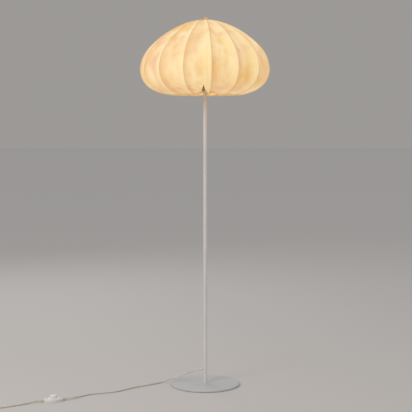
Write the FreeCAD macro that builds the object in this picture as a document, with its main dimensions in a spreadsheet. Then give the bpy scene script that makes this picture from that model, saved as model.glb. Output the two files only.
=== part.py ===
import FreeCAD, Part
import math
import os
import re

import Sketcher
from FreeCAD import Placement, Rotation, Vector

# Mushroom floor lamp: a steel disc, a thin pole in three screwed lengths, and a pumpkin-shaped
# silk shade stretched over fifteen curved ribs. A foot switch sits in the mains lead.
# The origin is on the floor, under the pole. The viewer stands on the -Y side, +X to the right.

doc = FreeCAD.newDocument("mushroom_floor_lamp")
sheet = doc.addObject("Spreadsheet::Sheet", "Sizes")

# Driving dimensions, in millimetres and degrees.
SIZES = [
    ("base_radius", 140, "disc of the foot"),
    ("base_thickness", 6, "steel plate"),
    ("base_edge_round", 1.6, "round on the disc's upper edge"),
    ("pad_thickness", 1.5, "soft ring under the disc"),
    ("pad_inset", 5, "pad's distance from the disc's edge and from the recess"),
    ("recess_radius", 11, "recess for the screw head under the disc"),
    ("recess_depth", 3.4, "depth of that recess"),
    ("screw_radius", 4, "base screw"),
    ("screw_head_radius", 8, "its head"),
    ("screw_head_height", 2.4, "its head"),
    ("screw_length", 22, "shank under the head"),
    ("hex_socket_radius", 2.9, "across the corners, halved"),
    ("washer_radius", 9.5, "washer on the base screw"),
    ("washer_thickness", 0.8, "washer on the base screw"),
    ("fit_gap", 0.05, "radial clearance of pieces that are screwed or pressed together"),
    ("hole_gap", 0.3, "radial clearance of a screw or lead in its hole"),
    ("pole_radius", 8, "outside of the pole"),
    ("pole_wall", 1.2, "wall of the pole"),
    ("section_length", 398.5, "each of the pole's three lengths"),
    ("foot_plug_length", 26, "tapped plug in the foot of the pole"),
    ("bush_length", 16, "tapped bush in a tube end"),
    ("nipple_radius", 5, "hollow threaded pipe"),
    ("nipple_bore", 3.6, "its bore, as a radius"),
    ("nipple_length", 28, "its length"),
    ("cord_radius", 2.75, "round mains lead"),
    ("lead_level", 68, "height on the pole's axis where the lead comes in"),
    ("lead_bearing", 164.7, "direction in which the lead leaves, about +Z from +X"),
    ("lead_tilt", 15, "how far that direction points down"),
    ("lead_bend", 8, "bend of the lead inside the pole"),
    ("gland_neck_radius", 4.2, "gland inside the pole's wall"),
    ("gland_flange_radius", 5.8, "gland's flange against the pole"),
    ("gland_flange_thickness", 1.8, "gland's flange"),
    ("gland_tip_radius", 3.7, "end of the gland's tapered sleeve"),
    ("gland_reach", 28, "sleeve's end, from the pole's axis"),
    ("holder_radius", 19.5, "outside of the lamp holder"),
    ("holder_wall", 2, "wall of the lamp holder"),
    ("holder_neck_radius", 10, "foot of the holder's cap"),
    ("holder_taper", 8, "height of the cap's tapered foot"),
    ("holder_floor", 3, "floor of the cap"),
    ("cap_height", 18, "cap of the lamp holder"),
    ("shell_height", 34, "outer shell of the lamp holder"),
    ("shell_lip", 3, "turned-in rim of the shell"),
    ("insert_rise", 7, "insert above the top of the cap"),
    ("shade_ring_radius", 27, "threaded clamp rings"),
    ("shade_ring_height", 5, "threaded clamp rings"),
    ("shade_ring_lift", 5, "lower clamp ring's top above the cap"),
    ("lamp_thread_radius", 13.2, "screw cap of the lamp"),
    ("screw_shell_wall", 0.5, "brass thread sleeve"),
    ("screw_shell_height", 24, "brass thread sleeve"),
    ("lamp_cap_height", 27, "screw cap of the lamp, with its tip"),
    ("lamp_tip_radius", 5, "tip contact of the lamp"),
    ("contact_thickness", 0.6, "spring strip under the lamp's tip"),
    ("lamp_body_height", 34, "tapered body of the lamp"),
    ("lamp_radius", 30, "globe of the lamp"),
    ("rib_count", 15, "ribs of the shade"),
    ("rib_bearing", -84.4, "direction of the first rib, about +Z from +X"),
    ("rib_width", 2.4, "rib, around the shade"),
    ("rib_depth", 2.4, "rib, through the shade"),
    ("rib_seat", 2.3, "rib's outer side below the silk's ridge"),
    ("silk_thickness", 1.2, "sewn silk, with its lining and seams"),
    ("saddle", 0.1, "how deep a gore sinks between two ribs, per width"),
    ("shade_radius", 262.5, "widest place of the ridges"),
    ("crown_height", 204.5, "top of the silk above the widest place"),
    ("skirt_depth", 98, "widest place above the lowest"),
    ("neck_radius", 8, "gathered top of the silk"),
    ("top_ring_radius", 18, "ring at the ribs' upper ends"),
    ("mouth_radius", 80, "ring at the ribs' lower ends"),
    ("mouth_rise", 9, "ridge line at the mouth ring above its lowest place"),
    ("ring_width", 3, "both rings of the frame"),
    ("spider_drop", 25, "spider's hub above the mouth ring"),
    ("spider_thickness", 2, "spider's strips and hub"),
    ("spider_width", 6, "spider's arms"),
    ("spider_arms", 3, "spider's arms"),
    ("spider_bearing", 53.6, "direction of the first arm, from the first rib"),
    ("spider_hub_radius", 26, "spider's hub"),
    ("spider_lap", 6, "arm's end on the mouth ring"),
    ("knot_height", 9.5, "silk tuft above the gathered top"),
    ("knot_flare", 6.4, "upper edge of the tuft"),
    ("knot_waist", 4.4, "tuft where the thread holds it"),
    ("switch_x", -589, "middle of the foot switch"),
    ("switch_y", -272, "middle of the foot switch"),
    ("switch_turn", 20.2, "turn of the foot switch about +Z"),
    ("switch_length", 80, "foot switch"),
    ("switch_width", 50, "foot switch"),
    ("switch_wall", 2, "its shells"),
    ("switch_base_height", 7, "lower shell"),
    ("switch_dome", 9, "upper shell"),
    ("switch_relief_length", 12, "tapered sleeve on each end"),
    ("relief_neck_radius", 3.7, "sleeve inside a housing"),
    ("relief_root_radius", 4.8, "sleeve at a housing"),
    ("relief_tip_radius", 3.6, "end of a sleeve"),
    ("switch_screw_x", 20, "screws of the switch, from its middle"),
    ("switch_screw_y", 12, "screws of the switch, from its middle"),
    ("switch_screw_radius", 1.4, "screws of the switch"),
    ("switch_screw_head", 2.6, "heads of those screws"),
    ("switch_screw_grip", 3.5, "screws in the upper shell"),
    ("switch_post_radius", 3.2, "posts round those screws"),
    ("switch_post_rise", 5.2, "posts in the upper shell"),
    ("button_radius", 13, "push button"),
    ("button_gap", 0.4, "clearance round the button"),
    ("button_rise", 9, "button above the top of the cover"),
    ("button_travel", 3.5, "travel of the button"),
    ("button_cap_height", 14.4, "button's cap"),
    ("button_skirt", 1.6, "button's flange under the cover"),
    ("plunger_radius", 2.5, "stem under the button"),
    ("plunger_engaged", 0.8, "stem in the contact block at rest"),
    ("module_height", 5.5, "contact block"),
    ("module_length", 15, "contact block"),
    ("module_width", 12, "contact block"),
    ("spring_radius", 5.2, "middle of the spring's wire"),
    ("spring_wire", 0.8, "spring's wire"),
    ("spring_turns", 3, "spring's turns"),
    ("coil_x", -837.6, "middle of the wound lead"),
    ("coil_y", -376.7, "middle of the wound lead"),
    ("coil_radius", 30.5, "middle of the turns"),
    ("plug_y", -346, "plug's sleeve end"),
    ("plug_length", 35, "plug's body"),
    ("plug_back_width", 17, "plug's body at the lead"),
    ("plug_front_width", 35.3, "plug's body at the pins"),
    ("plug_back_height", 11, "plug's body at the lead"),
    ("plug_front_height", 13.7, "plug's body at the pins"),
    ("plug_corner", 4.9, "plug's rounded sides"),
    ("plug_relief_length", 22, "tapered sleeve behind the plug"),
    ("pin_radius", 2, "plug's pins"),
    ("pin_length", 19, "plug's pins"),
    ("pin_spread", 18.6, "distance between the pins"),
]
for row, (alias, size, meaning) in enumerate(SIZES, start=1):
    sheet.set("A%d" % row, meaning)
    sheet.set("B%d" % row, str(size))
    sheet.setAlias("B%d" % row, alias)
doc.recompute()

# Levels and radii that follow from the driving dimensions.
DERIVED = {
    "base_top": "(pad_thickness + base_thickness)",
    "recess_level": "(pad_thickness + recess_depth)",
    "pole_bore": "(pole_radius - pole_wall)",
    "lower_joint": "(base_top + section_length)",
    "upper_joint": "(base_top + 2 * section_length)",
    "pole_top": "(base_top + 3 * section_length)",
    "cap_top": "(pole_top + cap_height)",
    "shell_top": "(cap_top + shell_height)",
    "insert_top": "(cap_top + insert_rise)",
    "hub_level": "(cap_top + shade_ring_lift)",
    "hub_top": "(hub_level + spider_thickness)",
    "lamp_tip": "(insert_top + contact_thickness)",
    "lamp_cap_top": "(lamp_tip + lamp_cap_height)",
    "lamp_body_top": "(lamp_cap_top + lamp_body_height)",
    "mouth_ring_level": "(hub_level - spider_drop)",
    "mouth_ring_top": "(mouth_ring_level + ring_width / 2)",
    "skirt_level": "(mouth_ring_level - rib_seat - rib_depth / 2 - mouth_rise)",
    "waist_level": "(skirt_level + skirt_depth)",
    "crown_level": "(waist_level + crown_height)",
    "button_top": "(switch_base_height + switch_dome + button_rise)",
    "button_foot": "(button_top - button_cap_height)",
    "module_top": "(switch_wall + module_height)",
    "plug_x": "(coil_x - coil_radius - cord_radius)",
}
FUNCTIONS = ("sin", "cos", "tan")


def bound(formula):
    """Turns the plain names in a formula into references to the sheet."""
    def swap(match):
        word = match.group(0)
        if word in FUNCTIONS:
            return word
        if word in DERIVED:
            return bound(DERIVED[word])
        return "Sizes." + word
    return re.sub(r"[a-z][a-z_]*", swap, formula)


def size(formula):
    """The present value of a formula."""
    return float(sheet.evalExpression(bound(formula)))


def bind(thing, **formulas):
    """Binds properties of an object; two underscores stand for a dot."""
    for name, formula in formulas.items():
        thing.setExpression(name.replace("__", "."), bound(formula))
    return thing


def named(thing, label):
    thing.Label = label
    return thing


def put(thing, x="0", y="0", level="0", turn=None):
    """Places a piece by formulas, turned about +Z."""
    bind(thing, Placement__Base__x=x, Placement__Base__y=y, Placement__Base__z=level)
    if turn is not None:
        thing.Placement.Rotation = Rotation(Vector(0, 0, 1), 1)
        bind(thing, Placement__Rotation__Angle=turn)
    return thing


def origin_plane(body, role):
    return [feature for feature in body.Origin.OriginFeatures if feature.Role == role][0]


def outline_sketch(body, name, outline, role="XZ_Plane"):
    """A closed outline whose corners are formulas of the sheet."""
    sketch = body.newObject("Sketcher::SketchObject", name)
    sketch.AttachmentSupport = (origin_plane(body, role), [""])
    sketch.MapMode = "FlatFace"
    corners = [Vector(size(across), size(up), 0) for across, up in outline]
    count = len(corners)
    for index in range(count):
        following = (index + 1) % count
        sketch.addGeometry(Part.LineSegment(corners[index], corners[following]), False)
    for index in range(count):
        following = (index + 1) % count
        sketch.addConstraint(Sketcher.Constraint("Coincident", index, 2, following, 1))
    for index, (across, up) in enumerate(outline):
        for kind, axis, formula in (("DistanceX", -2, across), ("DistanceY", -1, up)):
            if formula == "0":
                sketch.addConstraint(Sketcher.Constraint("PointOnObject", index, 1, axis))
                continue
            rule = Sketcher.Constraint(kind, -1, 1, index, 1, size(formula))
            place = sketch.addConstraint(rule)
            sketch.setExpression("Constraints[%d]" % place, bound(formula))
    return sketch


def turned(label, outline):
    """A body turned about its own Z axis from an outline of (radius, level) corners."""
    body = named(doc.addObject("PartDesign::Body", label + "_body"), label)
    sketch = outline_sketch(body, label + "_outline", outline)
    turning = body.newObject("PartDesign::Revolution", label + "_turning")
    turning.Profile = sketch
    turning.ReferenceAxis = (sketch, ["V_Axis"])
    turning.Angle = 360
    return body


def sleeve(label, inner, outer, low, high):
    """A plain ring or tube."""
    return turned(label, [(inner, low), (outer, low), (outer, high), (inner, high)])


def cylinder(name, radius, height):
    return bind(doc.addObject("Part::Cylinder", name), Radius=radius, Height=height)


def cut(label, base, tool):
    joint = named(doc.addObject("Part::Cut", label + "_cut"), label)
    joint.Base = base
    joint.Tool = tool
    return joint


def fused(label, pieces):
    joint = named(doc.addObject("Part::MultiFuse", label + "_fuse"), label)
    joint.Shapes = pieces
    return joint


def group(label, pieces):
    """Like pieces that share one node, each a solid of its own."""
    joint = named(doc.addObject("Part::Compound", label + "_group"), label)
    joint.Links = pieces
    return joint


# Foot: the disc rests on a soft ring, and one screw from below holds the pole.
base_plate = turned("base_plate", [
    ("screw_radius + hole_gap", "recess_level"), ("recess_radius", "recess_level"),
    ("recess_radius", "pad_thickness"), ("base_radius", "pad_thickness"),
    ("base_radius", "base_top"), ("screw_radius + hole_gap", "base_top")])
floor_pad = sleeve("floor_pad", "recess_radius + pad_inset", "base_radius - pad_inset",
                   "0", "pad_thickness")
base_washer = sleeve("base_washer", "screw_radius + fit_gap", "washer_radius",
                     "recess_level - washer_thickness", "recess_level")
head_top = "recess_level - washer_thickness"
base_screw = turned("base_screw", [
    ("0", head_top + " - screw_head_height"), ("screw_head_radius", head_top + " - screw_head_height"),
    ("screw_head_radius", head_top), ("screw_radius", head_top),
    ("screw_radius", head_top + " + screw_length"), ("0", head_top + " + screw_length")])
foot_plug = sleeve("foot_plug", "screw_radius + fit_gap", "pole_bore - fit_gap",
                   "base_top", "base_top + foot_plug_length")
doc.recompute()


def rim_edges(shape, radius, level):
    """Names of the round edges at one radius and level."""
    names = []
    for number, edge in enumerate(shape.Edges, start=1):
        box = edge.BoundBox
        if abs(box.ZMax - level) < 1e-4 and abs(box.ZMin - level) < 1e-4 and \
                abs(box.XMax - radius) < 1e-3:
            names.append("Edge%d" % number)
    return names


base_rim = base_plate.newObject("PartDesign::Fillet", "base_rim")
base_rim.Base = (base_plate.Group[1],
                 rim_edges(base_plate.Shape, size("base_radius"), size("base_top")))
bind(base_rim, Radius="base_edge_round")

hex_sketch = base_screw.newObject("Sketcher::SketchObject", "hex_outline")
hex_sketch.AttachmentSupport = (origin_plane(base_screw, "XY_Plane"), [""])
hex_sketch.MapMode = "FlatFace"
HEX_SIDES = 6
for side in range(HEX_SIDES):
    ends = [2 * math.pi * (side + step) / HEX_SIDES for step in (0, 1)]
    points = [Vector(math.cos(end), math.sin(end), 0) * size("hex_socket_radius") for end in ends]
    hex_sketch.addGeometry(Part.LineSegment(*points), False)
circle = hex_sketch.addGeometry(
    Part.Circle(Vector(0, 0, 0), Vector(0, 0, 1), size("hex_socket_radius")), True)
hex_sketch.addConstraint(Sketcher.Constraint("Coincident", circle, 3, -1, 1))
for side in range(HEX_SIDES):
    following = (side + 1) % HEX_SIDES
    hex_sketch.addConstraint(Sketcher.Constraint("Coincident", side, 2, following, 1))
    hex_sketch.addConstraint(Sketcher.Constraint("PointOnObject", side, 1, circle))
    if side:
        hex_sketch.addConstraint(Sketcher.Constraint("Equal", 0, side))
hex_sketch.addConstraint(Sketcher.Constraint("PointOnObject", 0, 1, -1))
rule = hex_sketch.addConstraint(
    Sketcher.Constraint("Radius", circle, size("hex_socket_radius")))
hex_sketch.setExpression("Constraints[%d]" % rule, bound("hex_socket_radius"))
hex_socket = base_screw.newObject("PartDesign::Pocket", "hex_socket")
hex_socket.Profile = hex_sketch
hex_socket.Midplane = False
hex_socket.Reversed = True
bind(hex_socket, Length="recess_level - washer_thickness")

# Pole: three tubes, each end with a tapped bush, joined by hollow nipples that let the lead through.
pole_lower_tube = sleeve("pole_lower_tube", "pole_bore", "pole_radius", "base_top", "lower_joint")
sleeve("pole_middle", "pole_bore", "pole_radius", "lower_joint", "upper_joint")
sleeve("pole_upper", "pole_bore", "pole_radius", "upper_joint", "pole_top")
BUSH_LEVELS = ["lower_joint - bush_length", "lower_joint", "upper_joint - bush_length",
               "upper_joint", "pole_top - bush_length"]
group("tube_bushes", [
    sleeve("tube_bush_%d" % number, "nipple_radius + fit_gap", "pole_bore - fit_gap",
           low, low + " + bush_length")
    for number, low in enumerate(BUSH_LEVELS, start=1)])
group("joint_nipples", [
    sleeve("nipple_at_" + middle, "nipple_bore", "nipple_radius",
           middle + " - nipple_length / 2", middle + " + nipple_length / 2")
    for middle in ("lower_joint", "upper_joint")])
sleeve("holder_nipple", "nipple_bore", "nipple_radius",
       "pole_top - nipple_length / 2", "pole_top + holder_taper")

# Where the lead leaves: a tapered gland in the pole's wall, along its own tilted axis.
lead_away = Rotation(Vector(0, 0, 1), size("lead_bearing")).multVec(
    Rotation(Vector(0, 1, 0), size("lead_tilt")).multVec(Vector(1, 0, 0)))
lead_source = Vector(0, 0, size("lead_level"))
lead_turn = Rotation(Vector(0, 0, 1), lead_away)
lead_place = Placement(lead_source, lead_turn)
gland_hole = cylinder("gland_hole", "gland_neck_radius + fit_gap", "gland_reach")
gland_hole.Placement = lead_place
cut("pole_lower", pole_lower_tube, gland_hole)
gland_blank = turned("gland_blank", [
    ("cord_radius + fit_gap", "pole_bore - 1"), ("gland_neck_radius", "pole_bore - 1"),
    ("gland_neck_radius", "pole_radius - 1"), ("gland_flange_radius", "pole_radius - 1"),
    ("gland_flange_radius", "pole_radius + gland_flange_thickness"),
    ("gland_neck_radius + 0.8", "pole_radius + gland_flange_thickness"),
    ("gland_tip_radius", "gland_reach"), ("cord_radius + fit_gap", "gland_reach")])
gland_blank.Placement = lead_place
gland_wall = sleeve("gland_wall", "pole_bore", "pole_radius + fit_gap", "base_top", "lower_joint")
gland_core = cylinder("gland_core", "gland_neck_radius", "gland_reach")
gland_core.Placement = lead_place
gland_saddle = cut("gland_saddle", gland_wall, gland_core)
cut("cord_gland", gland_blank, gland_saddle)

# Lamp holder on top of the pole: a cap, a ceramic insert, and a shell with two clamp rings.
nipple_hole = "nipple_radius + fit_gap"
holder_bore = "holder_radius - holder_wall"
turned("holder_cap", [
    (nipple_hole, "pole_top"), ("holder_neck_radius", "pole_top"),
    ("holder_radius", "pole_top + holder_taper"), ("holder_radius", "cap_top"),
    (holder_bore, "cap_top"), (holder_bore, "pole_top + holder_taper + holder_wall / 2"),
    ("holder_neck_radius", "pole_top + holder_floor"), (nipple_hole, "pole_top + holder_floor")])
turned("holder_shell", [
    (holder_bore, "cap_top"), ("holder_radius", "cap_top"), ("holder_radius", "shell_top"),
    ("lamp_thread_radius + screw_shell_wall + 0.9", "shell_top"),
    ("lamp_thread_radius + screw_shell_wall + 0.9", "shell_top - shell_lip"),
    (holder_bore, "shell_top - shell_lip")])
turned("holder_insert", [
    ("0", "pole_top + holder_taper + 2"), (holder_bore + " - fit_gap", "pole_top + holder_taper + 2"),
    (holder_bore + " - fit_gap", "insert_top"), ("0", "insert_top")])
sleeve("screw_shell", "lamp_thread_radius + fit_gap",
       "lamp_thread_radius + fit_gap + screw_shell_wall",
       "insert_top", "insert_top + screw_shell_height")
centre_contact = named(doc.addObject("Part::Box", "centre_contact"), "centre_contact")
bind(centre_contact, Length="2 * lamp_tip_radius", Width="lamp_tip_radius",
     Height="contact_thickness")
put(centre_contact, "-lamp_tip_radius", "-lamp_tip_radius / 2", "insert_top")
sleeve("shade_ring_lower", "holder_radius + fit_gap", "shade_ring_radius",
       "hub_level - shade_ring_height", "hub_level")
sleeve("shade_ring_upper", "holder_radius + fit_gap", "shade_ring_radius",
       "hub_top", "hub_top + shade_ring_height")

# Lamp: screw cap, tapered body and round globe.
turned("bulb_cap", [
    ("0", "lamp_tip"), ("lamp_tip_radius", "lamp_tip"), ("lamp_thread_radius", "lamp_tip + 4"),
    ("lamp_thread_radius", "lamp_cap_top"), ("0", "lamp_cap_top")])
globe_drop = "lamp_radius * cos(70)"
turned("bulb_body", [
    ("0", "lamp_cap_top"), ("lamp_thread_radius + 1.5", "lamp_cap_top"),
    ("lamp_radius * sin(70)", "lamp_body_top"), ("0", "lamp_body_top")])
bulb_globe = named(doc.addObject("Part::Sphere", "bulb_globe"), "bulb_globe")
bind(bulb_globe, Radius="lamp_radius")
bulb_globe.Angle1 = -20
put(bulb_globe, level="lamp_body_top + lamp_radius * sin(20)")

# Shade frame and silk. One smooth outline from the gathered neck, over the crown, round the waist
# and under to the mouth; each point is a share of the radius and of the height above or below
# the waist. Ribs and silk are offsets of this one line.
CROWN_SHAPE = [(0.125, 0.985), (0.343, 0.907), (0.519, 0.8), (0.681, 0.662), (0.827, 0.497),
               (0.92, 0.351), (0.981, 0.178)]
SKIRT_SHAPE = [(0.948, 0.445), (0.876, 0.66), (0.778, 0.82), (0.655, 0.935)]
LIP_SHAPE = (0.475, 1.0)
SPAN_STEPS = 24

# Hems: places across a gore, from one rib at -1 to the next at 1, each with how far out the
# silk ends there, as a share of the radius. FOOT is the silk's edge at the mouth ring.
FOOT = None
PLAIN_HEM = [(-1, FOOT), (-0.72, 0.49), (-0.38, 0.6), (0, 0.64), (0.38, 0.6), (0.72, 0.49),
             (1, FOOT)]
CLOSING_HEM = [(-1, FOOT), (-0.82, 0.47), (-0.41, 0.59), (0.0, 0.66), (0.27, 0.785),
               (0.41, 0.875), (0.56, 0.77), (0.72, 0.675), (0.88, 0.59), (1, 0.52)]
SECOND_HEM = [(-1, 0.735), (-0.86, 0.762), (-0.6, 0.69), (-0.28, 0.59), (0.1, 0.54),
              (0.5, 0.49), (0.82, 0.41), (1, FOOT)]

shade_radius = size("shade_radius")
waist_level = size("waist_level")
rib_count = int(size("rib_count"))
rib_step = 360.0 / rib_count
half_step = math.radians(rib_step / 2)
silk = size("silk_thickness")
ring_edge = size("mouth_radius + ring_width / 2")
silk_edge = ring_edge + silk


def shade_outline():
    """The ridge line of the silk, in the X-Z plane."""
    crown = [Vector(size("neck_radius"), 0, size("crown_level"))]
    crown += [Vector(out * shade_radius, 0, waist_level + up * size("crown_height"))
              for out, up in CROWN_SHAPE]
    waist = [Vector(shade_radius, 0, waist_level)]
    skirt = [Vector(out * shade_radius, 0, waist_level - down * size("skirt_depth"))
             for out, down in SKIRT_SHAPE + [LIP_SHAPE]]
    lip = [Vector(size("mouth_radius"), 0, size("skirt_level + mouth_rise"))]
    line = Part.BSplineCurve()
    line.interpolate(crown + waist + skirt + lip)
    return line


ridge_line = shade_outline()


def offset_line(depth):
    """The ridge line moved into the shade."""
    points = []
    for point in ridge_line.discretize(Number=SPAN_STEPS + 1):
        tangent = ridge_line.tangent(ridge_line.parameter(point))[0]
        points.append(point + Vector(tangent.z, 0, -tangent.x) * depth)
    line = Part.BSplineCurve()
    line.interpolate(points)
    return line


def strip_wire(outer, inner):
    """A closed wire round the strip between two lines, each a list of curves end to end."""
    start = Part.LineSegment(inner[0].StartPoint, outer[0].StartPoint)
    end = Part.LineSegment(outer[-1].EndPoint, inner[-1].EndPoint)
    back = [curve.copy() for curve in reversed(inner)]
    for curve in back:
        curve.reverse()
    return Part.Wire([curve.toShape() for curve in outer + [end] + back + [start]])


def turned_copy(shape, degrees):
    copy = shape.copy()
    copy.rotate(Vector(0, 0, 0), Vector(0, 0, 1), degrees)
    return copy


# Ribs: spring-steel strips cut off against the two rings.
rib_face = Part.Face(strip_wire([offset_line(size("rib_seat"))],
                                [offset_line(size("rib_seat + rib_depth"))]))
half_width = size("rib_width / 2")
rib_face.translate(Vector(0, -half_width, 0))
rib_blank = rib_face.extrude(Vector(0, 2 * half_width, 0))
top_edge = size("top_ring_radius + ring_width / 2")
crown_core = Part.makeCylinder(top_edge + size("fit_gap"), size("crown_height"),
                               Vector(0, 0, waist_level))
mouth_core = Part.makeCylinder(ring_edge + size("fit_gap"), size("skirt_depth"),
                               Vector(0, 0, size("skirt_level")))
rib_shape = rib_blank.cut(crown_core).cut(mouth_core)
for number in range(rib_count):
    label = "shade_rib_%02d" % (number + 1)
    rib = named(doc.addObject("Part::Feature", label), label)
    rib.Shape = rib_shape
    bearing = size("rib_bearing") + number * rib_step
    rib.Placement = Placement(Vector(0, 0, 0), Rotation(Vector(0, 0, 1), bearing))

# Rings that the ribs are welded to. The upper ring hangs under the ribs' inner ends.
rib_underside = offset_line(size("rib_seat + rib_depth")).discretize(Number=600)
ring_hit = min(rib_underside[:300], key=lambda point: abs(point.x - size("top_ring_radius")))
ring_half = size("ring_width / 2")


def frame_ring(radius, level):
    outer = Part.makeCylinder(radius + ring_half, 2 * ring_half, Vector(0, 0, level - ring_half))
    return outer.cut(Part.makeCylinder(radius - ring_half, 2 * ring_half,
                                       Vector(0, 0, level - ring_half)))


top_ring = named(doc.addObject("Part::Feature", "top_ring"), "top_ring")
top_ring.Shape = frame_ring(size("top_ring_radius"), ring_hit.z)
sleeve("bottom_ring", "mouth_radius - ring_width / 2", "mouth_radius + ring_width / 2",
       "mouth_ring_level - ring_width / 2", "mouth_ring_top")

# Spider: a hub clamped on the lamp holder and three strips down to the mouth ring.
spider = turned("shade_spider", [
    ("holder_radius + hole_gap", "hub_level"), ("spider_hub_radius", "hub_level"),
    ("spider_hub_radius", "hub_top"), ("holder_radius + hole_gap", "hub_top")])
arm_knee = "shade_ring_radius + 7"
lap_start = "mouth_radius + ring_width / 2 - 2 * spider_lap"
arm_end = "mouth_radius + ring_width / 2"
arm_sketch = outline_sketch(spider, "arm_outline", [
    ("spider_hub_radius - 2", "hub_level"), (arm_knee + " - 0.5", "hub_level"),
    (lap_start, "mouth_ring_top"), (arm_end, "mouth_ring_top"),
    (arm_end, "mouth_ring_top + spider_thickness"),
    (lap_start + " + 0.5", "mouth_ring_top + spider_thickness"),
    (arm_knee, "hub_top"), ("spider_hub_radius - 2", "hub_top")])
arm = spider.newObject("PartDesign::Pad", "arm")
arm.Profile = arm_sketch
arm.Midplane = True
bind(arm, Length="spider_width")
doc.recompute()
arms = spider.newObject("PartDesign::PolarPattern", "arms")
arms.Originals = [arm]
arms.Axis = (arm_sketch, ["V_Axis"])
arms.Angle = 360
bind(arms, Occurrences="spider_arms")
spider.Tip = arms
put(spider, turn="rib_bearing + spider_bearing")

# Silk: each gore sinks to a saddle between its two ribs, and its hem arches up between their
# ends. The silk closes at the first rib, where both hems are drawn up, and the gore before it
# has a soft crease from the hem's tip to the tuft.
CREASE_PLACE = 0.56
CREASE_WIDTH = 0.11
CREASE_SHARE = 0.5
FOLD = 0.92
CROWN_STEPS = 12
HEM_STEPS = 5


def ridge_place(reach):
    """Where along the ridge line the skirt is so far from the pole."""
    upright = Part.LineSegment(Vector(reach, 0, waist_level - 2 * size("skirt_depth")),
                               Vector(reach, 0, waist_level))
    hit = min(ridge_line.intersect(upright), key=lambda point: point.Z)
    return ridge_line.parameter(Vector(hit.X, hit.Y, hit.Z))


def sunk_curve(span, across, depth, slack):
    """The ridge line over one span, moved to a place across a gore and sunk between the ribs."""
    start, end, steps = span
    line = ridge_line.copy()
    line.segment(start, end)
    narrowing = math.cos(half_step) / math.cos(half_step * across)
    points = []
    for point in line.discretize(Number=steps + 1):
        tangent = line.tangent(line.parameter(point))[0]
        sink = depth + size("saddle") * 2 * point.x * math.sin(half_step) * slack
        points.append(Vector(point.x * narrowing + tangent.z * sink, 0,
                             point.z - tangent.x * sink))
    curve = Part.BSplineCurve()
    curve.interpolate(Points=points, Parameters=[step / steps for step in range(steps + 1)])
    return curve


def gore_section(across, reach, creased):
    """The silk's section at one place across a gore: the crown and waist down to the fold,
    where the skirt has turned under, and then on to the hem."""
    slack = 1 - across ** 2
    if creased:
        slack -= CREASE_SHARE * math.exp(-((across - CREASE_PLACE) / CREASE_WIDTH) ** 2)
    fold = ridge_place(FOLD * shade_radius)
    spans = [(ridge_line.FirstParameter, fold, CROWN_STEPS), (fold, ridge_place(reach), HEM_STEPS)]
    outer, inner = [[sunk_curve(span, across, depth, slack) for span in spans]
                    for depth in (0, silk)]
    return turned_copy(strip_wire(outer, inner), math.degrees(half_step * across))


def gore_solid(hem, creased=False):
    """One gore, lofted from rib to rib."""
    sections = [gore_section(across, silk_edge if out is FOOT else out * shade_radius, creased)
                for across, out in hem]
    return Part.makeLoft(sections, True, True)


plain_gore = gore_solid(PLAIN_HEM)
gores = [gore_solid(SECOND_HEM)] + [plain_gore] * (rib_count - 2) + \
    [gore_solid(CLOSING_HEM, True)]
shade_panels = named(doc.addObject("Part::Feature", "shade_panels"), "shade_panels")
shade_panels.Shape = Part.makeCompound(
    [turned_copy(gore, size("rib_bearing") + (number + 0.5) * rib_step)
     for number, gore in enumerate(gores)])

# Tuft: the silk's upper edges gathered through the ring and tied with thread.
knot_radius = "neck_radius * cos(180 / rib_count) - hole_gap"
turned("top_knot", [
    ("0", "crown_level - 5"), (knot_radius, "crown_level - 5"), (knot_radius, "crown_level"),
    ("knot_waist", "crown_level + 2.5"), ("knot_waist", "crown_level + 4.5"),
    ("knot_flare", "crown_level + knot_height"), ("0", "crown_level + knot_height - 2")])
turned("knot_tie", [
    ("knot_waist + fit_gap", "crown_level + 2.6"), ("knot_waist + 1.2", "crown_level + 2.9"),
    ("knot_waist + 1.2", "crown_level + 4.1"), ("knot_waist + fit_gap", "crown_level + 4.4")])

# Foot switch: two oval shells, a round push button on a sprung plunger, and a contact block.
# Its pieces are drawn round its own centre and then placed on the floor.
SWITCH_PLACE = {"x": "switch_x", "y": "switch_y", "turn": "switch_turn"}
button_inside = "button_radius - switch_wall"
button_ceiling = "button_top - switch_wall - 0.5"


def oval(name, inset, low, high):
    """A solid oval slab of the switch, inset from its outline, between two levels."""
    ring = doc.addObject("Part::Ellipse", name + "_ring")
    bind(ring, MajorRadius="switch_length / 2 - " + inset,
         MinorRadius="switch_width / 2 - " + inset)
    put(ring, level=low)
    slab = doc.addObject("Part::Extrusion", name)
    slab.Base = ring
    slab.DirMode = "Custom"
    slab.Dir = Vector(0, 0, 1)
    slab.Solid = True
    return bind(slab, LengthFwd="(%s) - (%s)" % (high, low))


def dome(name, inset):
    """The upper half of a flat oval ball that stands on the lower shell."""
    ball = doc.addObject("Part::Ellipsoid", name)
    bind(ball, Radius1="switch_dome - " + inset, Radius2="switch_length / 2 - " + inset,
         Radius3="switch_width / 2 - " + inset)
    ball.Angle1 = 0
    return put(ball, level="switch_base_height")


def post(name, side, radius, low, high):
    """An upright at one of the two screws."""
    upright = cylinder(name, radius, "(%s) - (%s)" % (high, low))
    return put(upright, "%s * switch_screw_x" % side, "%s * switch_screw_y" % side, low)


def neck_bore(name):
    """The straight way for the sleeves' necks through both ends, at the joint of the shells."""
    bore = cylinder(name, "relief_neck_radius + fit_gap", "switch_length")
    bore.Placement.Rotation = Rotation(Vector(0, 1, 0), 90)
    return bind(bore, Placement__Base__x="-switch_length / 2",
                Placement__Base__z="switch_base_height")


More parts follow.
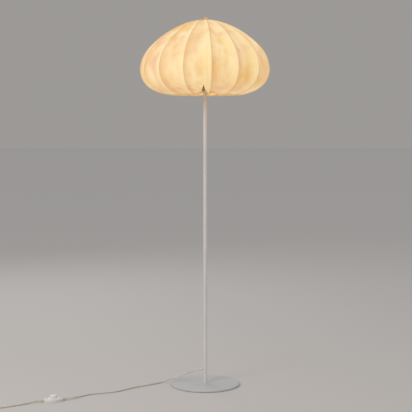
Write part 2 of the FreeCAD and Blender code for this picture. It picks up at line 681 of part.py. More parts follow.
SIDES = ("1", "-1")
pan_posts = [post("pan_post_" + name, side, "switch_post_radius", "switch_wall",
                  "switch_base_height") for name, side in zip("ab", SIDES)]
pan_holes = [post("pan_hole_" + name, side, "switch_screw_radius + fit_gap", "0",
                  "switch_base_height") for name, side in zip("ab", SIDES)]
pan_heads = [post("pan_head_" + name, side, "switch_screw_head + fit_gap", "0", "switch_wall")
             for name, side in zip("ab", SIDES)]
pan_outer = oval("pan_outer", "0", "0", "switch_base_height")
pan_inner = oval("pan_inner", "switch_wall", "switch_wall", "switch_base_height")
pan = cut("pan", pan_outer, pan_inner)
pan_with_posts = fused("pan_with_posts", [pan] + pan_posts)
pan_tool = fused("pan_tool", pan_holes + pan_heads + [neck_bore("pan_neck")])
put(cut("switch_base", pan_with_posts, pan_tool), **SWITCH_PLACE)

lid_shell = cut("lid_shell", dome("lid_outer", "0"), dome("lid_inner", "switch_wall"))
lid_posts = [post("lid_post_" + name, side, "switch_post_radius", "switch_base_height",
                  "switch_base_height + switch_post_rise") for name, side in zip("ab", SIDES)]
lid_with_posts = fused("lid_with_posts", [lid_shell] + lid_posts)
lid_holes = [post("lid_hole_" + name, side, "switch_screw_radius + fit_gap", "0",
                  "switch_base_height + switch_screw_grip + fit_gap")
             for name, side in zip("ab", SIDES)]
button_hole = put(cylinder("button_hole", "button_radius + button_gap", "button_top"), level="0")
lid_tool = fused("lid_tool", lid_holes + [button_hole, neck_bore("lid_neck")])
put(cut("switch_cover", lid_with_posts, lid_tool), **SWITCH_PLACE)

screws = []
for name, side in zip("ab", SIDES):
    screw = turned("switch_screw_" + name, [
        ("0", "0.4"), ("switch_screw_head", "0.4"), ("switch_screw_head", "switch_wall"),
        ("switch_screw_radius", "switch_wall"),
        ("switch_screw_radius", "switch_base_height + switch_screw_grip"),
        ("0", "switch_base_height + switch_screw_grip")])
    screws.append(put(screw, "%s * switch_screw_x" % side, "%s * switch_screw_y" % side))
put(group("switch_screws", screws), **SWITCH_PLACE)

put(turned("switch_button", [
    (button_inside, "button_foot"), ("button_radius + button_skirt", "button_foot"),
    ("button_radius + button_skirt", "button_foot + button_skirt"),
    ("button_radius", "button_foot + button_skirt"), ("button_radius", "button_top - 2.6"),
    ("button_radius - 0.9", "button_top - 1.1"), ("button_radius - 3.2", "button_top - 0.4"),
    ("button_radius - 7", "button_top"), ("0", "button_top"), ("0", button_ceiling),
    (button_inside, button_ceiling)]), **SWITCH_PLACE)
put(turned("switch_plunger", [
    ("0", "module_top - plunger_engaged"), ("plunger_radius", "module_top - plunger_engaged"),
    ("plunger_radius", button_ceiling), ("0", button_ceiling)]), **SWITCH_PLACE)

module_block = doc.addObject("Part::Box", "module_block")
bind(module_block, Length="module_length", Width="module_width", Height="module_height")
put(module_block, "-module_length / 2", "-module_width / 2", "switch_wall")
module_hole = cylinder("module_hole", "plunger_radius + button_gap",
                       "plunger_engaged + button_travel + button_gap")
put(module_hole, level="module_top - plunger_engaged - button_travel - button_gap")
put(cut("switch_module", module_block, module_hole), **SWITCH_PLACE)

# Return spring: a helix of square wire between the contact block and the button's ceiling.
spring_height = size(button_ceiling + " - module_top - spring_wire - 2 * fit_gap")
helix = Part.makeHelix(spring_height / size("spring_turns"), spring_height,
                       size("spring_radius"))
half_wire = size("spring_wire / 2")
wire_corners = [Vector(size("spring_radius") + out * half_wire, 0, up * half_wire)
                for out, up in ((-1, -1), (1, -1), (1, 1), (-1, 1), (-1, -1))]
spring_shape = Part.Wire(helix.Edges).makePipeShell([Part.makePolygon(wire_corners)], True, True)
switch_spring = named(doc.addObject("Part::Feature", "switch_spring"), "switch_spring")
switch_spring.Shape = spring_shape
put(switch_spring, level="module_top + spring_wire / 2 + fit_gap", **SWITCH_PLACE)

# Moulded sleeves where the lead enters and leaves the switch.
relief_root = "switch_length / 2 + fit_gap"
reliefs = []
for name, turn in (("in", 90), ("out", -90)):
    relief = turned("relief_" + name, [
        ("0", "switch_length / 2 - 7"), ("relief_neck_radius", "switch_length / 2 - 7"),
        ("relief_neck_radius", relief_root), ("relief_root_radius", relief_root),
        ("relief_tip_radius", "switch_length / 2 + switch_relief_length"),
        ("0", "switch_length / 2 + switch_relief_length")])
    relief.Placement = Placement(Vector(0, 0, 0), Rotation(Vector(0, 1, 0), turn))
    reliefs.append(bind(relief, Placement__Base__z="switch_base_height"))
put(group("switch_reliefs", reliefs), **SWITCH_PLACE)

# Plug at the far end: a flat tapered body, two round pins and a sleeve, lying on the floor.
plug_level = "plug_front_height / 2"
plug_back = "plug_y + plug_relief_length"
plug_face = "plug_y + plug_relief_length + plug_length"
plug_block = doc.addObject("Part::Wedge", "plug_block")
bind(plug_block, Xmin="-plug_back_width / 2", Xmax="plug_back_width / 2",
     Zmin="-plug_back_height / 2", Zmax="plug_back_height / 2",
     X2min="-plug_front_width / 2", X2max="plug_front_width / 2",
     Z2min="-plug_front_height / 2", Z2max="plug_front_height / 2", Ymin="0 * plug_length",
     Ymax="plug_length")
doc.recompute()
long_edges = [number for number, edge in enumerate(plug_block.Shape.Edges, start=1)
              if edge.BoundBox.YLength > size("plug_length") / 2]
plug_body = named(doc.addObject("Part::Fillet", "plug_body"), "plug_body")
plug_body.Base = plug_block
plug_body.Edges = [(number, size("plug_corner"), size("plug_corner")) for number in long_edges]
put(plug_body, "plug_x", plug_back, plug_level)

along_y = Rotation(Vector(1, 0, 0), -90)
pins = []
for side in SIDES:
    pin = turned("plug_pin_" + ("a" if side == "1" else "b"), [
        ("0", "0"), ("pin_radius", "0"), ("pin_radius", "pin_length - 0.8"),
        ("pin_radius - 0.8", "pin_length"), ("0", "pin_length")])
    pin.Placement = Placement(Vector(0, 0, 0), along_y)
    pins.append(bind(pin, Placement__Base__x="%s * pin_spread / 2" % side))
put(group("plug_pins", pins), "plug_x", plug_face, plug_level)
plug_relief = turned("plug_relief", [
    ("0", "0"), ("relief_tip_radius", "0"), ("relief_root_radius", "plug_relief_length"),
    ("0", "plug_relief_length")])
plug_relief.Placement = Placement(Vector(0, 0, 0), along_y)
bind(plug_relief, Placement__Base__x="plug_x", Placement__Base__y="plug_y",
     Placement__Base__z=plug_level)

# Mains lead. The stretch that would run on to a wall is wound up and laid beside the plug.
coil = turned("cord_coil", [
    ("coil_radius - 2 * cord_radius", "0.6 * cord_radius"),
    ("coil_radius - 1.4 * cord_radius", "0"), ("coil_radius + 1.4 * cord_radius", "0"),
    ("coil_radius + 2 * cord_radius", "0.6 * cord_radius"),
    ("coil_radius + 2 * cord_radius", "3.4 * cord_radius"),
    ("coil_radius + 1.4 * cord_radius", "4 * cord_radius"),
    ("coil_radius - 1.4 * cord_radius", "4 * cord_radius"),
    ("coil_radius - 2 * cord_radius", "3.4 * cord_radius")])
put(coil, "coil_x", "coil_y")

switch_along = Rotation(Vector(0, 0, 1), size("switch_turn")).multVec(Vector(1, 0, 0))
switch_middle = Vector(size("switch_x"), size("switch_y"), size("switch_base_height"))
switch_reach = size("switch_length / 2 + switch_relief_length")
LEAD_POINTS = [(-88, 25, 35), (-118, 33, 20), (-146, 38, 14.5),
               (-174, 31, 5), (-203, 8, 2.9), (-238, -22, 2.9), (-280, -50, 2.9),
               (-319, -92, 2.9), (-358, -133, 2.9), (-407, -151, 2.9), (-452, -168, 2.9),
               (-488, -203, 2.9)]
TAIL_POINTS = [(-690, -321, 2.9), (-731, -350, 2.9), (-776, -378.5, 2.9)]
COIL_START = (-820, -405, 2.9)
LEAD_STRAIGHT = 26
lead_route = [lead_source + lead_away * size("gland_reach"),
              lead_source + lead_away * (size("gland_reach") + LEAD_STRAIGHT)]
lead_route += [Vector(*point) for point in LEAD_POINTS]
lead_route += [switch_middle + switch_along * (switch_reach + LEAD_STRAIGHT),
               switch_middle + switch_along * switch_reach]
tail_route = [switch_middle - switch_along * switch_reach,
              switch_middle - switch_along * (switch_reach + LEAD_STRAIGHT)]
tail_route += [Vector(*point) for point in TAIL_POINTS + [COIL_START]]
coil_leave = Vector(size("coil_x") - size("coil_radius + cord_radius"), size("coil_y"),
                    size(plug_level))
end_route = [coil_leave, Vector(size("plug_x"), size("plug_y"), size(plug_level))]
inner_route = [lead_route[0], lead_source,
               Vector(0, 0, size("pole_top + holder_taper + 2"))]
ARC_SHARE = 0.45


def rounded_route(points, bend=None):
    """Straight runs joined by tangent arcs, each as large as its two runs allow."""
    pieces = []
    radii = []
    reached = points[0]
    for before, corner, after in zip(points, points[1:], points[2:]):
        run_in = (corner - before).normalize()
        run_out = (after - corner).normalize()
        turn = run_in.getAngle(run_out)
        reach = ARC_SHARE * min(before.distanceToPoint(corner), corner.distanceToPoint(after))
        radius = reach / math.tan(turn / 2)
        if bend is not None:
            radius = bend
            reach = bend * math.tan(turn / 2)
        radii.append(round(radius, 1))
        inward = (run_out - run_in).normalize()
        crest = corner + inward * (radius / math.cos(turn / 2) - radius)
        first = corner - run_in * reach
        last = corner + run_out * reach
        pieces.append(Part.LineSegment(reached, first).toShape())
        pieces.append(Part.Arc(first, crest, last).toShape())
        reached = last
    pieces.append(Part.LineSegment(reached, points[-1]).toShape())
    return Part.Wire(pieces), radii


def cord(label, points, bend=None):
    """A round lead swept along its route."""
    wire, radii = rounded_route(points, bend)
    route = doc.addObject("Part::Feature", label + "_route")
    route.Shape = wire
    section = bind(doc.addObject("Part::Circle", label + "_section"), Radius="cord_radius")
    section.Placement = Placement(points[0], Rotation(Vector(0, 0, 1), points[1] - points[0]))
    tube = named(doc.addObject("Part::Sweep", label), label)
    tube.Sections = [section]
    tube.Spine = (route, ["Edge%d" % number for number in range(1, len(wire.Edges) + 1)])
    tube.Solid = True
    tube.Frenet = False
    doc.recompute()
    expected = math.pi * size("cord_radius") ** 2 * wire.Length
    print(label, "length", round(wire.Length, 1), "radii", radii,
          "volume share", round(tube.Shape.Volume / expected, 4))


cord("inner_lead", inner_route, size("lead_bend"))
cord("cord_lead", lead_route)
cord("cord_tail", tail_route)
cord("cord_end", end_route)

# Check every object, then write each sub-part.
NODES = ["base_plate", "floor_pad", "base_screw", "base_washer", "foot_plug",
         "pole_lower", "pole_middle", "pole_upper", "tube_bushes", "joint_nipples",
         "holder_nipple", "cord_gland", "holder_cap", "holder_shell", "holder_insert",
         "screw_shell", "centre_contact", "shade_ring_lower", "shade_ring_upper",
         "bulb_cap", "bulb_body", "bulb_globe", "top_ring", "bottom_ring", "shade_spider",
         "shade_panels", "top_knot", "knot_tie", "switch_base", "switch_cover",
         "switch_screws", "switch_button", "switch_plunger", "switch_module", "switch_spring",
         "switch_reliefs", "plug_body", "plug_pins", "plug_relief", "cord_coil",
         "inner_lead", "cord_lead", "cord_tail", "cord_end"]
NODES += ["shade_rib_%02d" % (number + 1) for number in range(rib_count)]
doc.recompute()
for thing in doc.Objects:
    if "Invalid" in thing.State or "Error" in thing.State:
        raise RuntimeError("%s failed: %s" % (thing.Label, thing.State))
subparts = {thing.Label: thing for thing in doc.Objects if thing.Label in NODES}
for label in NODES:
    shape = subparts[label].Shape
    if shape.isNull() or not shape.isValid() or not shape.Solids:
        raise RuntimeError("%s has no valid solid" % label)
os.makedirs("parts", exist_ok=True)
for label in NODES:
    subparts[label].Shape.exportStep("parts/%s.step" % label)
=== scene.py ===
import math

import bpy
import numpy as np
from mathutils import Matrix, Vector


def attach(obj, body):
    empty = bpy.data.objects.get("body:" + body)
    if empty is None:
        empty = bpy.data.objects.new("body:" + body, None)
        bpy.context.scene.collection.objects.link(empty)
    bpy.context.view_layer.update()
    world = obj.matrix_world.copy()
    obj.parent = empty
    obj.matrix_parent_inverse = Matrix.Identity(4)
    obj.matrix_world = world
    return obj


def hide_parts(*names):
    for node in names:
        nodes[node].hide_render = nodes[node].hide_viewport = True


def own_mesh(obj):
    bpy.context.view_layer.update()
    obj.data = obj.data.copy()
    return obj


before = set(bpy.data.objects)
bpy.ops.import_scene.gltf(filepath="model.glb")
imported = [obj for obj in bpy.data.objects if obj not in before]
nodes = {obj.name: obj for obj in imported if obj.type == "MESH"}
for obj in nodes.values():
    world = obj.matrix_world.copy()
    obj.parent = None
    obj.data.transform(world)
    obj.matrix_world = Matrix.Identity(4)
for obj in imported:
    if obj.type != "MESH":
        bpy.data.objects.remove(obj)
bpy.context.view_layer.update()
LAMP = "lamp"

# ------------------------------------------------------------------ viewpoint
# The lamp stands on the origin. The eye is 4.4 m away, a little over a metre up, and looks
# down by a few degrees, so the shade's mouth is seen just from below and the foot from above.
EYE = (0.003, -4.4, 1.072)
EYE_PITCH = -4.33
EYE_LENS = 94.52
EYE_SENSOR = 36.0
EYE_NEAR, EYE_FAR = 0.05, 60
eye = bpy.data.objects.new("eye", bpy.data.cameras.new("eye"))
bpy.context.scene.collection.objects.link(eye)
eye.location = EYE
eye.rotation_euler = (math.radians(90 + EYE_PITCH), 0, 0)
eye.data.sensor_width = EYE_SENSOR
eye.data.lens = EYE_LENS
eye.data.clip_start = EYE_NEAR
eye.data.clip_end = EYE_FAR
bpy.context.scene.camera = eye
bpy.context.scene.view_settings.view_transform = "Standard"


# ------------------------------------------------------------------ mains lead
# Round two-core lead in soft white sheath, 5.5 mm thick. It leaves the gland low on the pole,
# hangs to the floor, wanders to the foot switch and on to a neat coil beside its plug.
class Signal:
    """One output in a tree of nodes. Arithmetic on it adds the Math nodes."""

    def __init__(self, tree, socket=None):
        self.tree = tree
        self.socket = socket

    def node(self, kind, settings=None, output=0, **inputs):
        made = self.tree.nodes.new(kind if kind.startswith("GeometryNode")
                                   else "ShaderNode" + kind)
        for name, value in (settings or {}).items():
            if name == "stops":
                ramp = made.color_ramp
                while len(ramp.elements) < len(value):
                    ramp.elements.new(0.5)
                for element, (place, colour) in zip(ramp.elements, value):
                    element.position = place
                    element.color = (*colour, 1.0)
            else:
                setattr(made, name, value)
        for name, value in inputs.items():
            found = made.inputs[int(name[1:])] if name[1:].isdigit() else \
                made.inputs[name.replace("_", " ")]
            if isinstance(value, Signal):
                self.tree.links.new(value.socket, found)
            else:
                found.default_value = value
        return Signal(self.tree, made.outputs[output])

    def maths(self, operation, *terms):
        inputs = {"_%d" % place: term for place, term in enumerate(terms)}
        return self.node("Math", {"operation": operation}, **inputs)

    def __add__(self, other):
        return self.maths("ADD", self, other)

    def __sub__(self, other):
        return self.maths("SUBTRACT", self, other)

    def __rsub__(self, other):
        return self.maths("SUBTRACT", other, self)

    def __mul__(self, other):
        return self.maths("MULTIPLY", self, other)

    def __truediv__(self, other):
        return self.maths("DIVIDE", self, other)

    __radd__ = __add__
    __rmul__ = __mul__

    def joined(self, others):
        """One geometry out of several."""
        made = self.tree.nodes.new("GeometryNodeJoinGeometry")
        for part in [self, *others]:
            self.tree.links.new(part.socket, made.inputs[0])
        return Signal(self.tree, made.outputs[0])

    def clamped(self, low=0.0, high=1.0):
        return self.maths("MAXIMUM", self.maths("MINIMUM", self, high), low)

    def between(self, low, high):
        """0 below low, 1 above high and a smooth step between."""
        return self.node("MapRange", {"interpolation_type": "SMOOTHSTEP"},
                         _0=self, _1=low, _2=high)

    def blended(self, first, second):
        """A colour between two, with this signal as the share of the second."""
        sides = [(*side, 1.0) if isinstance(side, tuple) else side for side in (first, second)]
        return self.node("Mix", {"data_type": "RGBA"}, output=2, _0=self, _6=sides[0],
                         _7=sides[1])

    def noise(self, scale, detail=2.0, stretch=(1, 1, 1), roughness=0.5):
        """Noise of so many blobs a metre on the piece's own coordinates."""
        place = self.node("TexCoord", output=3)
        place = self.node("Mapping", Vector=place, Scale=stretch)
        return self.node("TexNoise", Vector=place, Scale=scale, Detail=detail,
                         Roughness=roughness)

    def bump(self, height, strength, distance):
        return self.node("Bump", Height=height, Strength=strength, Distance=distance)


def finish(name, paint=None, **numbers):
    """A material on the main shader: plain numbers set directly, patterns from paint()."""
    made = bpy.data.materials.new(name)
    made.use_nodes = True
    shader = made.node_tree.nodes["Principled BSDF"]
    for label, value in numbers.items():
        found = shader.inputs[label.replace("_", " ")]
        found.default_value = (*value, 1.0) if isinstance(value, tuple) else value
    if paint:
        for label, signal in paint(Signal(made.node_tree)).items():
            made.node_tree.links.new(signal.socket, shader.inputs[label.replace("_", " ")])
    return made


def dress(piece, material):
    """Gives a piece its one material."""
    piece.data.materials.clear()
    piece.data.materials.append(material)
    return piece


def sheath(colour, shade):
    """Soft plastic with faint handling marks and a skin as of fine orange peel."""
    def paint(signal):
        marks = signal.noise(55, 3).between(0.42, 0.68)
        grain = signal.noise(1400, 2)
        return {"Base_Color": marks.blended(colour, shade),
                "Roughness": marks * 0.12 + 0.42,
                "Normal": signal.bump(grain, 0.25, 0.0002)}
    return paint


LEAD_COLOUR = (0.66, 0.60, 0.52)
LEAD_SHADE = (0.58, 0.52, 0.44)
lead_sheath = finish("lead_sheath", sheath(LEAD_COLOUR, LEAD_SHADE))
LEAD_RADIUS = 0.00275
FLOOR_LIE = 0.0029
GLAND_BEARING, GLAND_TILT, GLAND_LEVEL, GLAND_REACH = 164.7, 15.0, 0.068, 0.028
SWITCH_CENTRE = Vector((-0.589, -0.272, 0.007))
SWITCH_TURN = math.radians(20.2)
SWITCH_REACH = 0.052
STRAIGHT = 0.026
switch_along = Vector((math.cos(SWITCH_TURN), math.sin(SWITCH_TURN), 0))
gland_bearing = math.radians(GLAND_BEARING)
gland_tilt = math.radians(GLAND_TILT)
lead_away = Vector((math.cos(gland_bearing) * math.cos(gland_tilt),
                    math.sin(gland_bearing) * math.cos(gland_tilt), -math.sin(gland_tilt)))
gland_tip = Vector((0, 0, GLAND_LEVEL)) + lead_away * GLAND_REACH
LEAD_WAY = [(-0.088, 0.025, 0.035), (-0.118, 0.033, 0.020), (-0.146, 0.038, 0.0145),
            (-0.174, 0.031, 0.005), (-0.203, 0.008, FLOOR_LIE), (-0.238, -0.022, FLOOR_LIE),
            (-0.280, -0.050, FLOOR_LIE), (-0.319, -0.092, FLOOR_LIE),
            (-0.358, -0.133, FLOOR_LIE), (-0.407, -0.151, FLOOR_LIE),
            (-0.452, -0.168, FLOOR_LIE), (-0.488, -0.203, FLOOR_LIE)]
TAIL_WAY = [(-0.690, -0.321, FLOOR_LIE), (-0.731, -0.350, FLOOR_LIE),
            (-0.776, -0.3785, FLOOR_LIE)]
COIL_CENTRE = Vector((-0.8376, -0.3767, 0))
COIL_OUTER, COIL_INNER = 0.03325, 0.02775
COIL_START, COIL_TURNS, COIL_STEPS = -58.1, 4.34, 14
# The turn at which the coil steps inwards, up and out again, and how much of a turn that takes.
COIL_IN, COIL_UP, COIL_OUT = (0.75, 0.5), (1.9, 0.5), (2.95, 0.4)
PLUG_TIP = Vector((-0.87085, -0.346, 0.00685))
PLUG_STRAIGHT = 0.012


def lead_piece(name, points):
    """A free stretch of the lead as one smooth open spline."""
    line = bpy.data.curves.new(name, "CURVE")
    line.dimensions = "3D"
    line.bevel_depth = LEAD_RADIUS
    line.bevel_resolution = 6
    line.resolution_u = 10
    line.use_fill_caps = True
    way = line.splines.new("NURBS")
    way.points.add(len(points) - 1)
    for spot, point in zip(way.points, points):
        spot.co = (*point, 1.0)
    way.order_u = 3
    way.use_endpoint_u = True
    piece = bpy.data.objects.new(name, line)
    bpy.context.scene.collection.objects.link(piece)
    return dress(piece, lead_sheath)


def eased(wound, start, span):
    """0 before start, 1 from a span later and a smooth step between, in turns of the coil."""
    return 0.5 - 0.5 * math.cos(math.pi * min(max((wound - start) / span, 0), 1))


lead_points = [gland_tip, gland_tip + lead_away * STRAIGHT] + [Vector(p) for p in LEAD_WAY]
lead_points += [SWITCH_CENTRE + switch_along * (SWITCH_REACH + STRAIGHT),
                SWITCH_CENTRE + switch_along * SWITCH_REACH]
lead = lead_piece("lead_to_switch", lead_points)

tail_points = [SWITCH_CENTRE - switch_along * SWITCH_REACH,
               SWITCH_CENTRE - switch_along * (SWITCH_REACH + STRAIGHT)]
tail_points += [Vector(p) for p in TAIL_WAY]
coil_steps = round(COIL_TURNS * COIL_STEPS)
for step in range(coil_steps + 1):
    wound = step / coil_steps * COIL_TURNS
    angle = math.radians(COIL_START) - wound * math.tau
    inward = eased(wound, *COIL_IN) - eased(wound, *COIL_OUT)
    radius = COIL_OUTER + (COIL_INNER - COIL_OUTER) * inward
    level = FLOOR_LIE + 2 * LEAD_RADIUS * eased(wound, *COIL_UP)
    tail_points.append(COIL_CENTRE + Vector((math.cos(angle), math.sin(angle), 0)) * radius
                       + Vector((0, 0, level)))
tail_points += [PLUG_TIP - Vector((0, PLUG_STRAIGHT, 0)), PLUG_TIP]
tail = lead_piece("lead_to_plug", tail_points)
for piece, covered in ((lead, ["cord_lead"]), (tail, ["cord_tail", "cord_coil", "cord_end"])):
    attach(piece, LAMP)
    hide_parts(*covered)
dress(nodes["inner_lead"], lead_sheath)


# ------------------------------------------------------------------ floor and light
# A wide plain floor in a pale warm grey and an even surround that is seen a little darker. A
# large soft light stands left in front, weaker ones right in front and behind. None of it is
# part of the lamp.
FLOOR_COLOUR, FLOOR_HALF, FLOOR_DROP = (0.62, 0.585, 0.55), 45, 0.0002
floor_mesh = bpy.data.meshes.new("studio_floor")
floor_mesh.from_pydata([(x * FLOOR_HALF, y * FLOOR_HALF, 0) for x, y in
                        ((-1, -1), (1, -1), (1, 1), (-1, 1))], [], [(0, 1, 2, 3)])
floor = bpy.data.objects.new("studio_floor", floor_mesh)
bpy.context.scene.collection.objects.link(floor)
floor.location.z = -FLOOR_DROP
dress(floor, finish("studio_floor", Base_Color=FLOOR_COLOUR, Roughness=0.9,
                    Specular_IOR_Level=0.2))
SURROUND_LIGHT, SURROUND_SEEN = (0.52, 0.53, 0.55), (0.335, 0.322, 0.312)
surround = bpy.data.worlds.new("surround")
bpy.context.scene.world = surround
surround.use_nodes = True
rays = Signal(surround.node_tree).node("LightPath").socket.node
direct, glossy, through = (Signal(surround.node_tree, rays.outputs[kind]) for kind in (
    "Is Camera Ray", "Is Glossy Ray", "Is Transmission Ray"))
shown = direct.maths("MAXIMUM", direct.maths("MAXIMUM", direct, glossy), through)
background = surround.node_tree.nodes["Background"]
surround.node_tree.links.new(shown.blended(SURROUND_LIGHT, SURROUND_SEEN).socket,
                             background.inputs["Color"])
background.inputs["Strength"].default_value = 1.0
for name, place, aim, width, power, tint in (
        ("soft_left", (-2.6, -2.9, 2.6), (0, 0, 0.9), 1.6, 62, (1.0, 0.97, 0.93)),
        ("soft_right", (3.0, -2.2, 1.8), (0, 0, 0.9), 2.0, 7, (1.0, 0.97, 0.94)),
        ("soft_back", (-1.6, 3.0, 2.8), (0, 0, 1.1), 1.4, 22, (1.0, 1.0, 1.0))):
    light = bpy.data.lights.new(name, "AREA")
    light.size = width
    light.energy = power
    light.color = tint
    stand = bpy.data.objects.new(name, light)
    bpy.context.scene.collection.objects.link(stand)
    stand.location = place
    stand.rotation_euler = (Vector(aim) - Vector(place)).to_track_quat("-Z", "Y").to_euler()


# ------------------------------------------------------------------ foot
# A 6 mm steel disc, laser-cut, with its upper edge broken and all of it powder-coated in the
# same white as the pole, set greyer and cooler here as painted shade. A thin rubber ring under
# it keeps it off the floor; one screw holds the pole.
def powder_coat(colour, shade):
    """Powder coat: fine orange peel, cloudy wear and a little dust."""
    def paint(signal):
        clouds = signal.noise(9, 4).between(0.35, 0.7)
        peel = signal.noise(650, 2)
        return {"Base_Color": clouds.blended(colour, shade),
                "Roughness": clouds * 0.1 + 0.4,
                "Normal": signal.bump(peel, 0.18, 0.0003)}
    return paint


# Painted shade: the foot's coat is the pole's white, set darker and cooler.
foot_paint_shaded = finish("foot_paint_shaded", powder_coat((0.60, 0.58, 0.585), (0.55, 0.535, 0.545)))
pad_rubber = finish("pad_rubber", sheath((0.05, 0.05, 0.05), (0.035, 0.035, 0.035)))


def bare_metal(colour, rough):
    """Turned or drawn metal with faint tool marks."""
    def paint(signal):
        marks = signal.noise(420, 2, stretch=(1, 1, 0.08))
        return {"Base_Color": marks.blended(colour, tuple(0.85 * c for c in colour)),
                "Roughness": marks * 0.15 + rough,
                "Normal": signal.bump(marks, 0.12, 0.0002)}
    return paint


zinc = finish("zinc", bare_metal((0.6, 0.6, 0.58), 0.3), Metallic=1.0)
dress(nodes["base_plate"], foot_paint_shaded)
dress(nodes["floor_pad"], pad_rubber)
for name in ("base_screw", "base_washer", "foot_plug", "tube_bushes", "joint_nipples",
             "holder_nipple", "switch_screws"):
    dress(nodes[name], zinc)

# ------------------------------------------------------------------ pole
# Three lengths of 16 mm steel tube, screwed end to end on hollow nipples through which the
# lead runs, powder-coated white. The lead comes out through a soft tapered gland.
pole_paint = finish("pole_paint", powder_coat((0.73, 0.69, 0.67), (0.67, 0.635, 0.62)))
for name in ("pole_lower", "pole_middle", "pole_upper"):
    dress(nodes[name], pole_paint)
gland_rubber = finish("gland_rubber", sheath((0.68, 0.65, 0.61), (0.6, 0.57, 0.53)))
dress(nodes["cord_gland"], gland_rubber)

# ------------------------------------------------------------------ lamp holder
# Dark brown moulded plastic: a cap on the pole's nipple, a shell over a ceramic insert, and
# two threaded rings that clamp the shade's hub. Brass sleeve and spring contact inside.
holder_plastic = finish("holder_plastic", sheath((0.40, 0.24, 0.13), (0.33, 0.19, 0.10)))
for name in ("holder_cap", "holder_shell", "shade_ring_lower", "shade_ring_upper"):
    dress(nodes[name], holder_plastic)
dress(nodes["holder_insert"], finish("holder_ceramic",
                                     sheath((0.78, 0.75, 0.7), (0.7, 0.67, 0.62))))
brass = finish("brass", bare_metal((0.78, 0.6, 0.3), 0.25), Metallic=1.0)
dress(nodes["screw_shell"], brass)
dress(nodes["centre_contact"], brass)

# ------------------------------------------------------------------ light bulb
# A globe lamp with an aluminium screw cap, a white plastic body and an opal bulb that glows
# warm. Its light is what fills the silk.
dress(nodes["bulb_cap"], finish("cap_metal", bare_metal((0.75, 0.75, 0.75), 0.3),
                                Metallic=1.0))
dress(nodes["bulb_body"], finish("bulb_body", sheath((0.85, 0.84, 0.82), (0.8, 0.79, 0.76))))


def opal(signal):
    depth = signal.noise(30, 2)
    return {"Emission_Color": depth.blended((1.0, 0.82, 0.52), (0.98, 0.78, 0.47))}


dress(nodes["bulb_globe"], finish("opal_glow", opal, Base_Color=(0.9, 0.85, 0.75),
                                  Roughness=0.35, Emission_Strength=1.1))

# ------------------------------------------------------------------ shade frame
# White-coated spring steel: fifteen curved ribs welded to a small ring under the crown and a
# wide ring at the mouth, and a three-armed spider that carries the frame on the holder.
wire_coat = finish("wire_coat", powder_coat((0.72, 0.66, 0.56), (0.66, 0.6, 0.5)))
RIB_COUNT = 15
for name in ["top_ring", "bottom_ring", "shade_spider"] + \
        ["shade_rib_%02d" % (number + 1) for number in range(RIB_COUNT)]:
    dress(nodes[name], wire_coat)


# ------------------------------------------------------------------ silk
# Fifteen gores of thin cream silk, sewn together along the ribs and stretched between them,
# so each sinks to a saddle. Their hems arch up between the rib ends; in front, where the silk
# closes, the hem is drawn up in a narrow notch. The lamp inside makes the silk glow.
# The ridge line over a rib starts at the neck, passes the widest level, the waist, and ends at
# the mouth. Its shares are of the radius and of the height above or below the waist.
WAIST, CROWN, SKIRT = 1.2869, 0.2045, 0.098
SHADE_RADIUS, NECK_RADIUS, MOUTH_RADIUS, MOUTH_RISE = 0.2625, 0.008, 0.080, 0.009
CROWN_SHARES = [(0.125, 0.985), (0.343, 0.907), (0.519, 0.8), (0.681, 0.662), (0.827, 0.497),
                (0.92, 0.351), (0.981, 0.178)]
SKIRT_SHARES = [(1.0, 0.0), (0.948, 0.445), (0.876, 0.66), (0.778, 0.82), (0.655, 0.935),
                (0.475, 1.0)]
FIRST_RIB = -84.4
SADDLE, SKIRT_SADDLE = 0.105, 0.35
SILK_THICKNESS, EDGE_ANGLE = 0.0004, 40
ridge_points = np.array(
    [(NECK_RADIUS, WAIST + CROWN)]
    + [(out * SHADE_RADIUS, WAIST + up * CROWN) for out, up in CROWN_SHARES]
    + [(out * SHADE_RADIUS, WAIST - down * SKIRT) for out, down in SKIRT_SHARES]
    + [(MOUTH_RADIUS, WAIST - SKIRT + MOUTH_RISE)])


def smooth_line(points, count):
    """A natural cubic spline through the points, at even steps of its length."""
    spans = np.hypot(*np.diff(points, axis=0).T)
    knots = np.concatenate([[0], np.cumsum(spans)])
    size = len(points)
    rows = np.eye(size)
    sides = np.zeros_like(points)
    for place in range(1, size - 1):
        rows[place, place - 1:place + 2] = (spans[place - 1],
                                            2 * (spans[place - 1] + spans[place]),
                                            spans[place])
        sides[place] = 6 * ((points[place + 1] - points[place]) / spans[place]
                            - (points[place] - points[place - 1]) / spans[place - 1])
    bends = np.linalg.solve(rows, sides)
    where = np.linspace(0, knots[-1], 40 * size)
    span = np.clip(np.searchsorted(knots, where) - 1, 0, size - 2)
    width = spans[span][:, None]
    left = (knots[span + 1] - where)[:, None]
    right = (where - knots[span])[:, None]
    line = (bends[span] * left ** 3 + bends[span + 1] * right ** 3) / (6 * width) \
        + (points[span] / width - bends[span] * width / 6) * left \
        + (points[span + 1] / width - bends[span + 1] * width / 6) * right
    steps = np.concatenate([[0], np.cumsum(np.hypot(*np.diff(line, axis=0).T))])
    even = np.linspace(0, steps[-1], count)
    return np.stack([np.interp(even, steps, line[:, axis]) for axis in (0, 1)], 1)


RIDGE_STEPS = 801
ridge = smooth_line(ridge_points, RIDGE_STEPS)
slopes = np.gradient(ridge, axis=0)
slopes /= np.hypot(*slopes.T)[:, None]
ridge_inward = np.stack([slopes[:, 1], -slopes[:, 0]], 1)
waist_index = int(np.argmax(ridge[:, 0]))
HALF_STEP = math.pi / RIB_COUNT
ROWS, COLUMNS = 110, 20
CREASE_PLACE, CREASE_WIDTH, CREASE_SHARE = 0.56, 0.085, 0.55
SKIRT_FADE = 0.5
PLEAT_DEPTH, PLEAT_RADIUS, PLEAT_REACH, PLEAT_START = 0.0035, 0.014, 0.034, 0.02
HEM_REACH, HEM_AT_RIB = 0.150, 0.083
HEM_SQUARE, HEM_FULL = 2.2, 0.7
